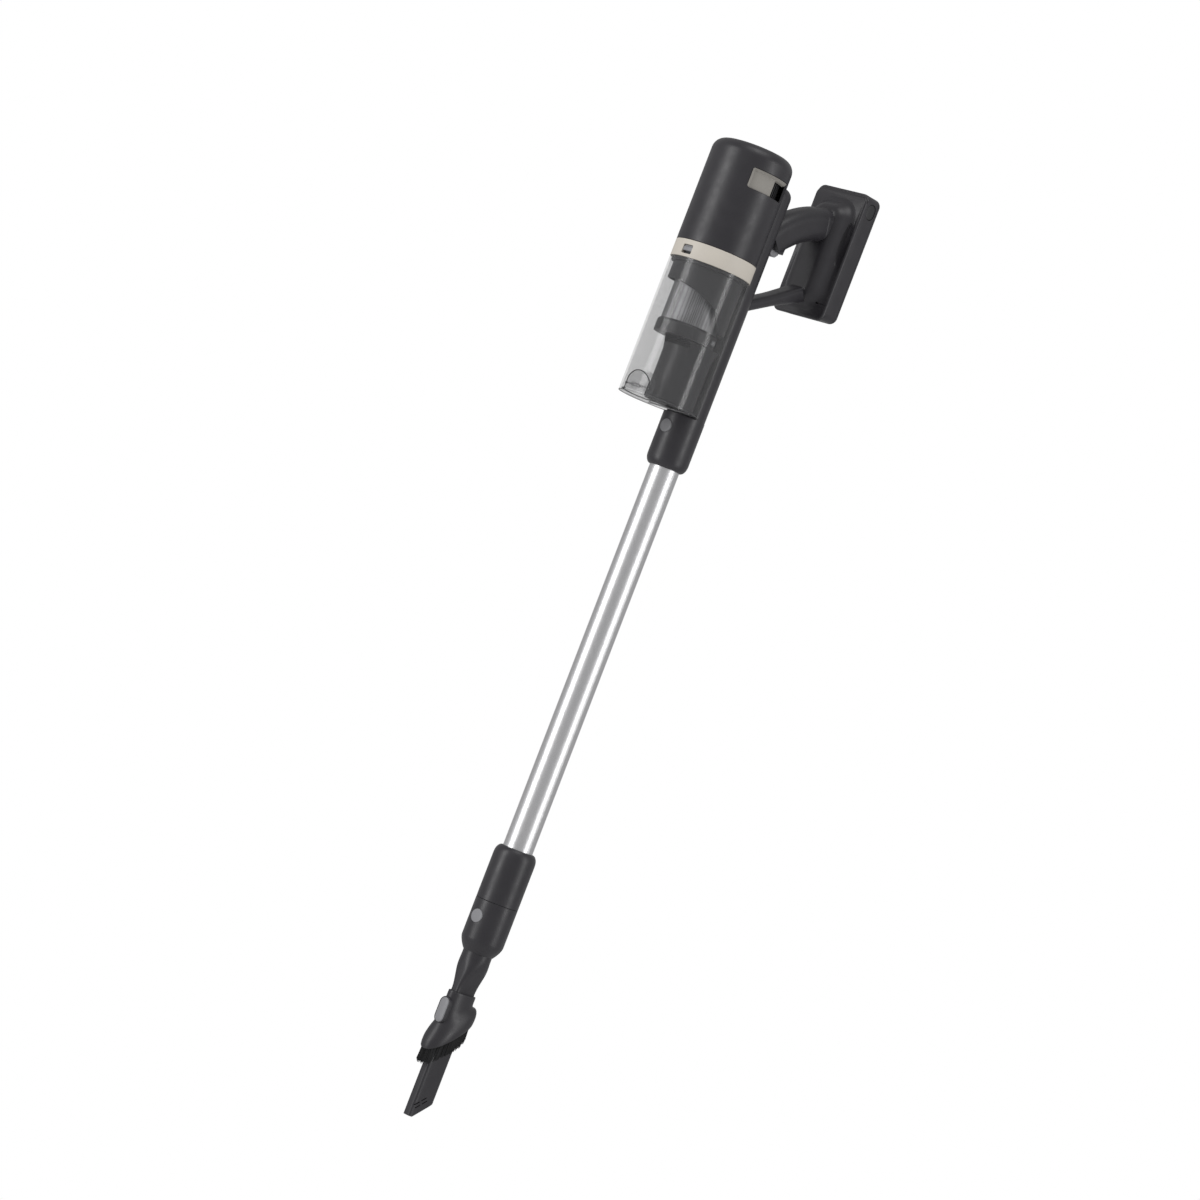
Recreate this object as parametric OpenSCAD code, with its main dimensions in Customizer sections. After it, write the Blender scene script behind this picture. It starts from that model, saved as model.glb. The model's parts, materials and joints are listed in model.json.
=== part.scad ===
// Cordless stick vacuum: motor unit with dust cup, handle and battery, wand, and two-in-one tool.
// Millimetres. The origin is on the wand's axis at the nozzle's tip. +Z runs up the wand to the
// motor, -Y is the front (dust cup and release buttons), +Y is the rear (handle and battery).

/* [Heights up the wand] */
// Nozzle tip to the bottom of the lower coupling
tool_len = 195.5; // [190:0.5:200]
// Height of the lower coupling
coupling_h = 124; // [122:1:130]
// Length of wand tube that shows between its two collars
tube_show = 458; // [300:1:520]
// Height of the spine's round wand socket, up to the floor of the dust cup
socket_h = 62; // [62:1:68]
// Height of the clear dust cup
cup_h = 161; // [158:1:170]
// Height of the beige ring on the cup
ring_h = 20; // [18:1:24]
// Height of the motor housing
housing_h = 124; // [121:1:130]

/* [Wand] */
// Outer diameter of the aluminium tube
tube_d = 35; // [34:0.5:35]
// Wall of the aluminium tube
tube_wall = 1.2; // [1:0.1:1.5]
// Outer diameter of the lower coupling
coupling_d = 49.5; // [49.5:0.5:52]
// Outer diameter of the wand socket
socket_d = 48.8; // [48.6:0.2:50]
// How far the tube reaches into the socket
tube_in_socket = 50; // [40:1:54]

/* [Motor unit and dust cup] */
// Outer diameter of the motor housing, the ring and the cup
body_d = 95; // [95:0.5:96]
// Wall of the motor housing
housing_wall = 2.2; // [2:0.1:2.4]
// Wall of the clear cup
cup_wall = 2.2; // [2:0.1:2.4]
// Radius of the rounded top edge of the housing
top_round = 14; // [10:1:16]
// Half angle, from the front, at which the exhaust window starts
window_from = 48; // [46:1:52]
// Half angle, from the front, at which the exhaust window ends
window_to = 120; // [114:1:122]

/* [Handle] */
// Width of the upper arm
arm_w = 33; // [30:1:36]
// Height of the upper arm's section
arm_h = 39; // [36:1:40]
// Radius of the upper arm's curve, along its middle
arm_r = 134; // [134:1:135]
// Width of the lower brace
brace_w = 24; // [20:1:26]
// Thickness of the lower brace
brace_t = 18; // [16:1:19]

/* [Battery] */
// Width of the battery slab
battery_w = 78; // [76:1:80]
// Height of the battery slab
battery_h = 152.5; // [150:0.5:154]
// Depth of the battery pack
battery_t = 26; // [24:0.5:27]
// Thickness of the dock plate that it slides onto
dock_t = 3; // [3:0.5:3.5]

/* [Travel of the buttons] */
// Travel of the round wand and tool release buttons
button_travel = 2; // [1.5:0.5:2.5]

/* [Hidden] */

$fn = 96;
charcoal = [0.24, 0.24, 0.27];
dark = [0.15, 0.15, 0.16];
beige = [0.80, 0.77, 0.72];
grey = [0.53, 0.53, 0.55];
metal = [0.78, 0.78, 0.80];
copper = [0.72, 0.42, 0.22];
clear = [0.62, 0.62, 0.64, 0.35];

// heights
z_coupling = tool_len;
z_tube = z_coupling + coupling_h;
z_socket = z_tube + tube_show;
z_cup = z_socket + socket_h;
z_ring = z_cup + cup_h;
z_house = z_ring + ring_h;
z_top = z_house + housing_h;

// the common axis of the housing and the cup, in front of the wand's axis
body_r = body_d / 2;
body_y = -(body_r + 0.8);
cup_gap = 0.35;

// wand
tube_r = tube_d / 2;
bore_r = tube_r - tube_wall;
coupling_r = coupling_d / 2;
socket_r = socket_d / 2;
spine_r = 24;
socket_bore_r = tube_r + 0.3;
tool_socket_top = z_coupling + 36;
seam_z = z_coupling + 60;
end_round = 6.6;
end_tall = 1.7;

// handle: the arm's curve is centred below and behind its middle
arm_cy = 128.2;
arm_cz = z_house - 43.7;
arm_from = 8.4;
arm_to = 52;
arm_corner = 14;
arm_wall = 2.5;

// battery and dock
slab_z = z_house - 18.3;
slab_y = 114;
pack_y = slab_y + dock_t;
pack_back = pack_y + battery_t;
slab_corner = 9;
cell_d = 18.4;
cell_l = 65;
cell_count = 7;
column_y = 97.5;
column_w = 46;
column_corner = 9;

// ---------------------------------------------------------------- helpers

// moves its children to the common axis of housing and cup
module on_body(z = 0) {
    translate([0, body_y, z]) children();
}

// a tube standing on the plane z = 0
module ring(r_out, r_in, h) {
    difference() {
        cylinder(r = r_out, h = h);
        translate([0, 0, -1]) cylinder(r = r_in, h = h + 2);
    }
}

// a ring's sector between two angles measured from the front (-Y) towards +X
module sector(r_out, r_in, h, from, to) {
    rotate([0, 0, from - 90]) rotate_extrude(angle = to - from)
        translate([r_in, 0]) square([r_out - r_in, h]);
}

// flat outline with round corners
module round_rect(w, h, r) {
    square([w - 2 * r, h], center = true);
    square([w, h - 2 * r], center = true);
    for (x = [-1, 1], y = [-1, 1])
        translate([x * (w / 2 - r), y * (h / 2 - r)]) circle(r = r, $fn = 48);
}

// a round-cornered slab that is thick along Y and upright in X and Z
module slab(w, h, t, r) {
    translate([0, t, 0]) rotate([90, 0, 0]) linear_extrude(t) round_rect(w, h, r);
}

// the profile of a post with a rounded upper or lower edge, for rotate_extrude
// tall stretches the rounding along the axis
function post(r, z0, z1, lower, upper, tall = 1, steps = 8) = concat(
    [[0, z0]],
    lower > 0
        ? [for (i = [0:steps]) [r - lower + lower * sin(90 * i / steps),
                                z0 + tall * lower * (1 - cos(90 * i / steps))]]
        : [[r, z0]],
    upper > 0
        ? [for (i = [0:steps]) [r - upper + upper * cos(90 * i / steps),
                                z1 - tall * upper * (1 - sin(90 * i / steps))]]
        : [[r, z1]],
    [[0, z1]]
);

module rounded_post(r, z0, z1, lower, upper, tall = 1) {
    rotate_extrude() polygon(post(r, z0, z1, lower, upper, tall));
}

// a round release button that is pressed along +Y: cap, stem guide and shoulder
module push_button(y, z, r, proud) {
    translate([0, y - proud, z]) rotate([-90, 0, 0]) {
        cylinder(r = r, h = 2.2 + proud);
        cylinder(r = r - 3.5, h = 3.4 + proud);
    }
}

// a short coil spring drawn as its stack of turns
module spring_stack(r, wire, len, turns) {
    for (i = [0:turns - 1])
        translate([0, 0, wire + i * (len - 2 * wire) / (turns - 1)])
            rotate_extrude($fn = 48) translate([r, 0]) circle(r = wire, $fn = 16);
}

// ---------------------------------------------------------------- motor unit

window_z0 = z_house + 75.7;
window_z1 = z_house + 98.5;
window_corner = 3;
shelf_z = window_z0 - 4;
corner_angle = window_corner / body_r * 180 / PI;

// one exhaust window with rounded corners, cut through the housing wall
module window_cut() {
    r_out = body_r + 2;
    r_in = body_r - housing_wall - 0.5;
    h = window_z1 - window_z0;
    translate([0, 0, window_z0])
        sector(r_out, r_in, h, window_from + corner_angle, window_to - corner_angle);
    translate([0, 0, window_z0 + window_corner])
        sector(r_out, r_in, h - 2 * window_corner, window_from, window_to);
    for (a = [window_from + corner_angle, window_to - corner_angle],
         z = [window_z0 + window_corner, window_z1 - window_corner])
        translate([0, 0, z]) rotate([0, 0, a - 90]) translate([r_in, 0, 0])
            rotate([0, 90, 0]) cylinder(r = window_corner, h = r_out - r_in, $fn = 32);
}

// the housing is one turned shell: a floor ring, an inner shelf under the filter, a domed top
module motor_housing() {
    inner_r = body_r - housing_wall;
    mouth_r = 28;
    outer = post(body_r, z_house + 0.2, z_top, 0, top_round);
    inner = post(inner_r, shelf_z, z_top - housing_wall, 0, top_round - housing_wall);
    color(charcoal) on_body() difference() {
        rotate_extrude() polygon(concat(
            [[mouth_r, z_house + 0.2]],
            [for (i = [1:len(outer) - 1]) outer[i]],
            [for (i = [len(inner) - 1:-1:1]) inner[i]],
            [[mouth_r, shelf_z], [mouth_r, shelf_z - 2], [inner_r, shelf_z - 2],
             [inner_r, z_house + 3], [mouth_r, z_house + 3]]
        ));
        window_cut();
        mirror([1, 0, 0]) window_cut();
    }
}

// sleeve behind the front wall; its back wall and roof show through the windows
module exhaust_liner() {
    r = body_r - housing_wall - 0.1;
    color(beige) on_body() {
        translate([0, 0, shelf_z]) sector(r, r - 1.8, 31.2, -89, 89);
        translate([0, 0, window_z1 + 0.2]) sector(r, r - 5.8, 2, -122, 122);
    }
}

module exhaust_grille() {
    r = body_r - housing_wall - 6;
    slat = 7;
    color(dark) on_body(shelf_z) difference() {
        sector(r, r - 1.6, 31, 91, 269);
        for (a = [97:slat:263])
            translate([0, 0, 4]) sector(r + 1, r - 3, 23, a, a + 4);
    }
}

// pleated ring of filter paper between two end caps
module exhaust_filter() {
    pleats = 36;
    r_out = 36;
    r_in = 30;
    color([0.9, 0.9, 0.86]) on_body(shelf_z) {
        difference() {
            linear_extrude(29) polygon([for (i = [0:2 * pleats - 1])
                let (r = i % 2 == 0 ? r_out : r_in + 2, a = i * 180 / pleats)
                [r * cos(a), r * sin(a)]]);
            translate([0, 0, -1]) cylinder(r = r_in - 2, h = 31);
        }
        translate([0, 0, 28]) cylinder(r = r_out + 0.6, h = 3);
    }
}

// fan and motor stack, from the inlet upwards
fan_z = z_house + 5;
motor_z = fan_z + 20;
shaft_r = 2.5;

module motor_mount() {
    color(dark) on_body(z_house + 3) difference() {
        cylinder(r = 34, h = 10);
        translate([0, 0, 2]) cylinder(r = 30, h = 9);
        translate([0, 0, -1]) cylinder(r = 24, h = 5);
    }
}

module fan_cover() {
    color(metal) on_body(fan_z) difference() {
        rounded_post(30, 0, 20, 4, 0);
        translate([0, 0, -1]) cylinder(r = 14, h = 4);
        translate([0, 0, 2]) cylinder(r = 27.5, h = 14);
        translate([0, 0, 17]) cylinder(r = 22, h = 4);
        translate([0, 0, 15]) cylinder(r = 12, h = 4);
        for (a = [0:30:330])
            rotate([0, 0, a]) translate([18, 0, 15]) cylinder(r = 3, h = 4, $fn = 24);
    }
}

// backward-swept blades between a hub disc and a shroud ring
module impeller() {
    blades = 9;
    color(metal) on_body(fan_z + 3) {
        difference() {
            union() {
                translate([0, 0, 9]) cylinder(r = 25, h = 1.5);
                cylinder(r = 7, h = 11);
            }
            translate([0, 0, -1]) cylinder(r = shaft_r, h = 14);
        }
        for (i = [0:blades - 1])
            rotate([0, 0, i * 360 / blades]) translate([6.5, 0, 1.4])
                rotate([0, 0, 28]) cube([17.5, 1.2, 7.6]);
    }
}

module motor_shaft() {
    color(metal) on_body(fan_z + 3) {
        cylinder(r = shaft_r, h = 56);
        translate([0, 0, 22.5]) cylinder(r = 8.5, h = 22);
    }
}

module motor_can() {
    color([0.3, 0.3, 0.32]) on_body(motor_z) difference() {
        cylinder(r = 24, h = 38);
        translate([0, 0, 2]) cylinder(r = 22, h = 32);
        translate([0, 0, -1]) cylinder(r = 8, h = 40);
        for (a = [0:60:300])
            rotate([0, 0, a]) translate([15, 0, -1]) cylinder(r = 3.5, h = 40, $fn = 24);
    }
    // posts under the control board
    color([0.3, 0.3, 0.32]) on_body(motor_z + 37) for (a = [30:120:270])
        rotate([0, 0, a]) translate([21, 0, 0]) cylinder(r = 2, h = 4, $fn = 24);
}

module motor_stator() {
    color(copper) on_body(motor_z + 5) {
        difference() {
            cylinder(r = 22, h = 24);
            translate([0, 0, -1]) cylinder(r = 19, h = 26);
        }
        for (a = [0:60:300])
            rotate([0, 0, a]) translate([9.4, -3.5, 2]) cube([10.2, 7, 20]);
    }
}

module motor_bearings() {
    color(metal) on_body() for (z = [motor_z - 2, motor_z + 34])
        translate([0, 0, z]) ring(8, shaft_r + 0.03, 4);
}

module control_board() {
    color([0.1, 0.3, 0.16]) on_body(motor_z + 41) {
        difference() {
            cylinder(r = 26, h = 1.6);
            translate([0, 0, -1]) cylinder(r = 4, h = 4);
        }
        for (x = [-12, 0, 12])
            translate([x - 3, 8, 1.5]) cube([6, 8, 3]);
        translate([-8, -16, 1.5]) cube([16, 9, 2.2]);
    }
}

// ---------------------------------------------------------------- spine and handle

spine_top = z_house + 99.8;
duct_top = z_ring - 4;
inlet_z = z_ring - 24;
inlet_r = 11;

module spine() {
    color(charcoal) difference() {
        union() {
            rounded_post(socket_r, z_socket, z_cup - 0.3, end_round, 0, end_tall);
            difference() {
                rounded_post(spine_r, z_cup - 0.4, spine_top, 0, 11);
                on_body(z_cup - 1) cylinder(r = body_r + cup_gap, h = z_house - z_cup + 0.9);
                on_body(z_house) cylinder(r = body_r, h = housing_h);
            }
        }
        // wand bore, then the air duct behind the cup
        translate([0, 0, z_socket - 1]) cylinder(r = socket_bore_r, h = socket_h - 6);
        difference() {
            translate([0, 0, z_cup - 9]) cylinder(r = spine_r - 2.6, h = duct_top - z_cup + 9);
            on_body(z_cup - 12) cylinder(r = body_r + 3, h = duct_top - z_cup + 14);
        }
        // hollow for the leads, above the duct
        difference() {
            translate([0, 0, duct_top + 3]) cylinder(r = spine_r - 2.6, h = spine_top - duct_top - 16);
            on_body(duct_top) cylinder(r = body_r + 3, h = spine_top - duct_top);
        }
        translate([0, -8, inlet_z]) rotate([-90, 0, 0]) cylinder(r = inlet_r, h = 12);
        // pocket of the wand release button
        translate([0, -socket_r - 1, wand_button_z]) rotate([-90, 0, 0])
            cylinder(r = button_r + 0.25, h = 1 + button_pocket);
    }
}

// rubber face of the duct's mouth, seated in the spine
module inlet_seal() {
    color(dark) intersection() {
        translate([0, -3, inlet_z]) rotate([-90, 0, 0]) ring(inlet_r, inlet_r - 2, 9);
        difference() {
            translate([0, 10, inlet_z]) cube([40, 24, 40], center = true);
            on_body(inlet_z - 30) cylinder(r = body_r + cup_gap, h = 60);
        }
    }
}

// the arm's curved tube, as a sweep about a line parallel to X
module arm_sweep(inset, from, to) {
    translate([0, arm_cy, arm_cz]) rotate([0, -90, 0]) rotate([0, 0, -to])
        rotate_extrude(angle = to - from, $fn = 180) translate([arm_r, 0])
            round_rect(arm_h - 2 * inset, arm_w - 2 * inset, arm_corner - inset);
}

// the arm with its front end cut level above the trigger
module arm_body(inset, from, to) {
    difference() {
        arm_sweep(inset, from, to);
        translate([-arm_w, 0, inset]) rotate([90, 0, 90]) linear_extrude(2 * arm_w) polygon([
            [0, z_house - 40],
            [0, hook_z],
            [40, hook_z],
            [44, hook_z + 6.5],
            [70, hook_z + 22],
            [70, z_house - 40]
        ]);
    }
}

// lump under the arm's front end that hangs the trigger
hook_z = z_house + 33.5;
module trigger_lump() {
    w = 20;
    translate([-w / 2, 0, 0]) rotate([90, 0, 90]) linear_extrude(w) polygon([
        [20, hook_z],
        [45.5, hook_z - 1],
        [46, hook_z + 6],
        [48.5, hook_z + 11],
        [56, hook_z + 18],
        [60, hook_z + 30],
        [20, hook_z + 24]
    ]);
}

// the whole handle arm, solid outside, hollow inside, before it is split into halves
module handle_arm() {
    difference() {
        union() {
            arm_body(0, arm_from, arm_to);
            trigger_lump();
        }
        arm_body(arm_wall, arm_from - 1, arm_to - 3);
        translate([-6.9, 26, hook_z - 4]) cube([13.8, 18, 22]);
        // clear of the spine and of the housing
        translate([0, 0, z_cup]) cylinder(r = spine_r, h = z_top - z_cup);
        translate([0, pin_y, pin_z]) rotate([0, 90, 0]) cylinder(r = pin_r, h = 60, center = true);
    }
    // shelf over the switch and the trigger's spring
    translate([-15, 34, hook_z + 18]) cube([30, 13, 2.5]);
}

module handle_half(side) {
    intersection() {
        handle_arm();
        translate([side > 0 ? 0 : -60, 0, z_house]) cube([60, 200, housing_h]);
    }
}

module handle_left() {
    color(charcoal) difference() {
        handle_half(-1);
        screws(0.1);
    }
}

module handle_right() {
    color(charcoal) handle_half(1);
}

// countersunk screws along the arm, driven from the left
module handle_screws() {
    color(metal) screws(0);
}

module screws(gap) {
    for (p = [[62, hook_z + 37.5], [92, hook_z + 50]])
        translate([-arm_w / 2 + 0.2, p[0], p[1]]) rotate([0, 90, 0]) {
            translate([0, 0, -gap]) cylinder(r = 2.6 + gap, h = 2.2 + 2 * gap, $fn = 32);
            cylinder(r = 1.3 + gap, h = 12 + gap, $fn = 32);
        }
}

pin_r = 1.5;
pin_y = 31;
pin_z = hook_z + 12;

module trigger_pin() {
    color(metal) translate([0, pin_y, pin_z]) rotate([0, 90, 0])
        cylinder(r = pin_r, h = 19, center = true);
}

// grey trigger: a boss on the pin and a curved pad under the lump
module trigger() {
    w = 13;
    color(grey) difference() {
        union() {
            translate([0, pin_y, pin_z]) rotate([0, 90, 0]) cylinder(r = 4, h = w, center = true);
            translate([-w / 2, 0, 0]) rotate([90, 0, 90]) linear_extrude(w) polygon([
                [pin_y - 4, pin_z],
                [pin_y - 3, hook_z - 5],
                [33, hook_z - 7.4],
                [37.5, hook_z - 7.4],
                [41.5, hook_z - 4.6],
                [42.4, hook_z - 0.8],
                [42.4, hook_z + 1],
                [41.8, hook_z + 3],
                [36.5, hook_z + 3],
                [pin_y + 3, pin_z + 1]
            ]);
        }
        translate([0, pin_y, pin_z]) rotate([0, 90, 0])
            cylinder(r = pin_r + 0.05, h = 40, center = true);
    }
}

module trigger_switch() {
    color(dark) {
        translate([-6, 36, hook_z + 10.5]) cube([8, 7.4, 7.5]);
        translate([-3.5, 38, hook_z + 9.7]) cube([3, 3, 1]);
    }
}

// return spring beside the switch
module trigger_spring() {
    color(metal) translate([4.6, 40.5, hook_z + 3.1]) spring_stack(1.5, 0.25, 14.8, 8);
}

// round-edged strut from the spine to the foot of the dock column
brace_y0 = 21;
brace_z0 = z_ring - 18;
brace_y1 = 112;
brace_z1 = z_house + 8.7;
module brace() {
    rise = atan2(brace_z1 - brace_z0, brace_y1 - brace_y0);
    len = norm([brace_z1 - brace_z0, brace_y1 - brace_y0]);
    color(charcoal) difference() {
        translate([0, brace_y0, brace_z0]) rotate([rise - 90, 0, 0])
            linear_extrude(len) round_rect(brace_w, brace_t, 6);
        translate([0, 0, z_cup]) cylinder(r = spine_r, h = z_top - z_cup);
        translate([-50, slab_y, z_ring - 20]) cube([100, 40, 60]);
    }
}

// block on the plate's front, rounded in plan, from the front and from the side
column_top = slab_z + 140;
column_bottom = slab_z + 12;
module column() {
    h = column_top - column_bottom;
    reach = slab_y + 1 - column_y;
    intersection() {
        translate([0, column_y + reach, column_bottom]) linear_extrude(h)
            round_rect(column_w, 2 * reach, column_corner);
        translate([0, column_y, column_bottom + h / 2]) slab(column_w, h, reach, 14);
        translate([-column_w / 2, column_y + reach, column_bottom + h / 2]) rotate([90, 0, 90])
            linear_extrude(column_w) round_rect(2 * reach, h, 11);
    }
}

// plate behind the handle with the column that joins the arm's and the brace's ends
module dock_plate() {
    color(charcoal) {
        difference() {
            union() {
                translate([0, slab_y, mid_z]) slab(battery_w, battery_h, dock_t, slab_corner);
                difference() {
                    column();
                    // the arm and the brace butt into the column
                    arm_sweep(0, arm_from, arm_to);
                }
            }
            // the brace's end is let into the column
            translate([0, brace_y0, brace_z0])
                rotate([atan2(brace_z1 - brace_z0, brace_y1 - brace_y0) - 90, 0, 0])
                    linear_extrude(120) round_rect(brace_w, brace_t, 6);
            // opening for the contact block
            translate([-12, slab_y - 3, mid_z + 20]) cube([24, 12, 12]);
        }
    }
}

module dock_contacts() {
    color(copper) {
        translate([-12, slab_y - 3, mid_z + 20]) cube([24, 4, 12]);
        for (x = [-9, -1.5, 6])
            translate([x, slab_y, mid_z + 21]) cube([3, 2.8, 10]);
    }
}

// ---------------------------------------------------------------- dust cup

lid_axis_y = -29;
lid_axis_z = z_cup - 0.5;
lid_t = 3;
floor_edge_y = lid_axis_y + 2.2;
ear_x = 39.5;
ear_y = lid_axis_y - 5.5;
lug_x = 26.5;
lug_w = 4;
hinge_z = z_cup + 1.6;

// arch-shaped opening of the latch, as a solid to cut with
module arch(half_w, h, y0, y1) {
    translate([0, y1, 0]) rotate([90, 0, 0]) linear_extrude(y1 - y0) {
        translate([-half_w, -1]) square([2 * half_w, h - half_w * 0.55 + 1]);
        intersection() {
            translate([0, h - half_w * 1.15]) circle(r = half_w * 1.15);
            translate([-half_w, 0]) square([2 * half_w, h]);
        }
    }
}

arch_w = 17;
arch_h = 27;

// clear cylinder, fixed half floor above the socket, and the recess behind the latch
module dust_cup() {
    r_in = body_r - cup_wall;
    color(clear) difference() {
        union() {
            on_body(z_cup) ring(body_r, r_in, cup_h);
            // fixed rear part of the floor, with its ears beside the lid's hinge
            intersection() {
                on_body(z_cup) cylinder(r = r_in + 0.5, h = 3);
                union() {
                    translate([-60, floor_edge_y, z_cup]) cube([120, 60, 3]);
                    for (x = [-60, ear_x + 0.4])
                        translate([x, ear_y + 0.4, z_cup]) cube([59.6 - ear_x, 20, 3]);
                }
            }
            // lugs for the lid's pin
            for (side = [-1, 1])
                translate([side * (lug_x + lug_w / 2) - lug_w / 2, lid_axis_y - 1.6, z_cup])
                    cube([lug_w, 5, 3.2]);
            // pocket that keeps the dust off the latch
            intersection() {
                on_body(z_cup + 4) cylinder(r = r_in + 0.5, h = arch_h + 2);
                translate([0, 0, z_cup]) arch(arch_w + 2, arch_h + 2, body_y - 60, body_y - 36);
            }
        }
        translate([0, 0, z_cup]) arch(arch_w, arch_h, body_y - 60, body_y - 38);
        latch_axle(38);
        lid_axle(0.8, 2 * (lug_x + lug_w) + 1);
        // inlet in the rear wall
        translate([0, -12, inlet_z]) rotate([-90, 0, 0]) cylinder(r = inlet_r - 2, h = 14);
        // the lid closes the front part from below
        on_body(z_cup - 1) intersection() {
            cylinder(r = r_in + 0.4, h = 1 + lid_t + 0.3);
            translate([-60, -60, 0]) cube([120, 60.4 + ear_y - body_y, 10]);
        }
    }
}

module lid_axle(r, len) {
    translate([0, lid_axis_y, hinge_z]) rotate([0, 90, 0]) cylinder(r = r, h = len, center = true, $fn = 32);
}

// window of the release tab, through the ring's front
tab_w = 14;
tab_h = 10.5;
tab_z = z_ring + 8.8;

module cup_ring() {
    color(beige) difference() {
        on_body(z_ring) ring(body_r, body_r - 5, ring_h - 0.15);
        translate([-tab_w / 2, body_y - body_r - 1, tab_z - tab_h / 2]) cube([tab_w, 8, tab_h]);
    }
}

// tab that is pulled down to free the cup
module cup_release() {
    color(grey) difference() {
        translate([-tab_w / 2 + 0.4, body_y - body_r + 1, tab_z - tab_h / 2 + 3.4])
            cube([tab_w - 0.8, 3.7, tab_h - 3.8]);
        translate([-tab_w, body_y - body_r, tab_z - 1]) cube([2 * tab_w, 2, 2]);
    }
}

// dark shroud; its lower edge is level on the left half and falls towards the rear on the right
shroud_r = 41.5;
shroud_h = 57.5;
shroud_left = 24;
shroud_right = 27;
shroud_slope = 0.64;

module cyclone_shroud() {
    reach = shroud_r + 5;
    left_rise = shroud_h - shroud_left;
    right_rise = shroud_h - shroud_right;
    color(dark) {
        on_body(z_ring - 4) ring(body_r - cup_wall - 0.3, 33, 4);
        on_body(z_ring - shroud_h) difference() {
            ring(shroud_r, shroud_r - 2, shroud_h - 3.5);
            translate([-reach, -reach, -1]) cube([reach, 2 * reach, left_rise + 1]);
            rotate([90, 0, 90]) translate([0, 0, -1]) linear_extrude(height = reach) polygon([
                [-reach, -1],
                [-reach, right_rise + shroud_slope * (reach - shroud_r)],
                [(right_rise + 1) / shroud_slope - shroud_r, -1]
            ]);
        }
    }
}

screen_top = z_ring - 1;
screen_bottom = z_ring - 68;
collar_h = 16;

// fine metal screen; it is drawn as a thin sheet between two rims
module mesh_screen() {
    color(metal) on_body(screen_bottom) ring(32.5, 31.7, screen_top - screen_bottom);
}

module cyclone_collar() {
    color(dark) on_body(screen_bottom - collar_h) difference() {
        rounded_post(35.2, 0, collar_h, 0, 4);
        translate([0, 0, -1]) cylinder(r = 24, h = collar_h + 2);
    }
}

// tall eccentric fines collector under the collar, which stands on the fixed floor's edge
lower_y = -32.3;
lower_r = 28.4;
module cyclone_body() {
    top = screen_bottom - collar_h;
    bottom = z_cup + lid_t + 1;
    inner = [[0, 0], [lower_r - 2, 0], [lower_r - 2, top - bottom - 3],
             [lower_r - 6, top - bottom + 1], [0, top - bottom + 1]];
    color(dark) difference() {
        union() {
            translate([0, lower_y, 0]) rotate_extrude() polygon([
                [0, bottom], [lower_r, bottom], [lower_r, top - 16], [lower_r + 1.2, top - 8],
                [lower_r + 3.4, top], [0, top]]);
            on_body(top) cylinder(r = 23.9, h = collar_h + 20);
        }
        translate([0, lower_y, bottom - 1]) rotate_extrude() polygon(inner);
        on_body(top - 8) cylinder(r = 21, h = collar_h + 40);
        // kept inside the cup's wall
        difference() {
            on_body(z_cup) cylinder(r = 90, h = 120);
            on_body(z_cup - 1) cylinder(r = body_r - cup_wall - 0.2, h = 130);
        }
    }
}

module pre_filter() {
    color([0.85, 0.85, 0.82]) on_body(z_ring + 2) difference() {
        cylinder(r = body_r - 5.2, h = ring_h - 4);
        translate([0, 0, -1]) cylinder(r = 14, h = 9);
    }
}

module cup_seal() {
    color(dark) on_body(z_house - 2) ring(body_r - 5.2, 34, 1.85);
}

// the lid turns down about a chord just in front of the wand socket
module lid_outline(r, inset, h) {
    intersection() {
        on_body() cylinder(r = r, h = h);
        translate([-60, body_y - 60, 0]) cube([120, 60 + ear_y - inset - body_y, h]);
    }
    intersection() {
        on_body() cylinder(r = r, h = h);
        translate([inset - ear_x, body_y, 0])
            cube([2 * (ear_x - inset), lid_axis_y - inset - body_y, h]);
    }
}

module cup_lid() {
    r = body_r - cup_wall;
    color(clear) difference() {
        union() {
            translate([0, 0, z_cup]) lid_outline(r, 0, lid_t);
            lid_axle(1.6, 2 * lug_x - 0.6);
        }
        lid_axle(0.85, 90);
        for (side = [-1, 1])
            translate([side * (lug_x + lug_w / 2) - lug_w / 2 - 0.3, lid_axis_y - 2.6, z_cup - 1])
                cube([lug_w + 0.6, 5.4, 6]);
        // room for the latch
        translate([-arch_w, body_y - 60, z_cup - 1]) cube([2 * arch_w, 22.2, 10]);
    }
}

module lid_seal() {
    color(dark) difference() {
        translate([0, 0, z_cup + lid_t]) lid_outline(body_r - cup_wall - 0.8, 2.5, 0.9);
        translate([0, 0, z_cup + lid_t - 1]) lid_outline(body_r - cup_wall - 2.8, 4.5, 3);
        translate([-arch_w - 3, body_y - 60, z_cup - 1]) cube([2 * arch_w + 6, 26, 10]);
    }
}

module lid_pin() {
    color(metal) lid_axle(0.8, 2 * (lug_x + lug_w));
}

latch_y = body_y - body_r + 5;
latch_z = z_cup + 9;

// clear arch lever that is pressed at the top and turns on its pin
module lid_latch() {
    color(clear) difference() {
        union() {
            intersection() {
                on_body(z_cup) ring(body_r - 0.2, body_r - 2.2, arch_h);
                translate([0, 0, z_cup]) arch(arch_w - 0.5, arch_h - 1, body_y - 60, body_y - 30);
            }
            for (x = [-9, 9])
                translate([x - 1.5, latch_y - 2.5, latch_z - 3]) cube([3, 5, 6]);
        }
        translate([0, latch_y, latch_z]) rotate([0, 90, 0])
            cylinder(r = 1.05, h = 60, center = true, $fn = 32);
    }
}

module latch_axle(len) {
    translate([0, latch_y, latch_z]) rotate([0, 90, 0])
        cylinder(r = 1, h = len, center = true, $fn = 32);
}

module latch_pin() {
    color(metal) latch_axle(38);
}

// torsion spring round the latch's pin
module latch_spring() {
    color(metal) translate([-4, latch_y, latch_z]) rotate([0, 90, 0]) spring_stack(2, 0.4, 8, 8);
}

// ---------------------------------------------------------------- wand

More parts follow.
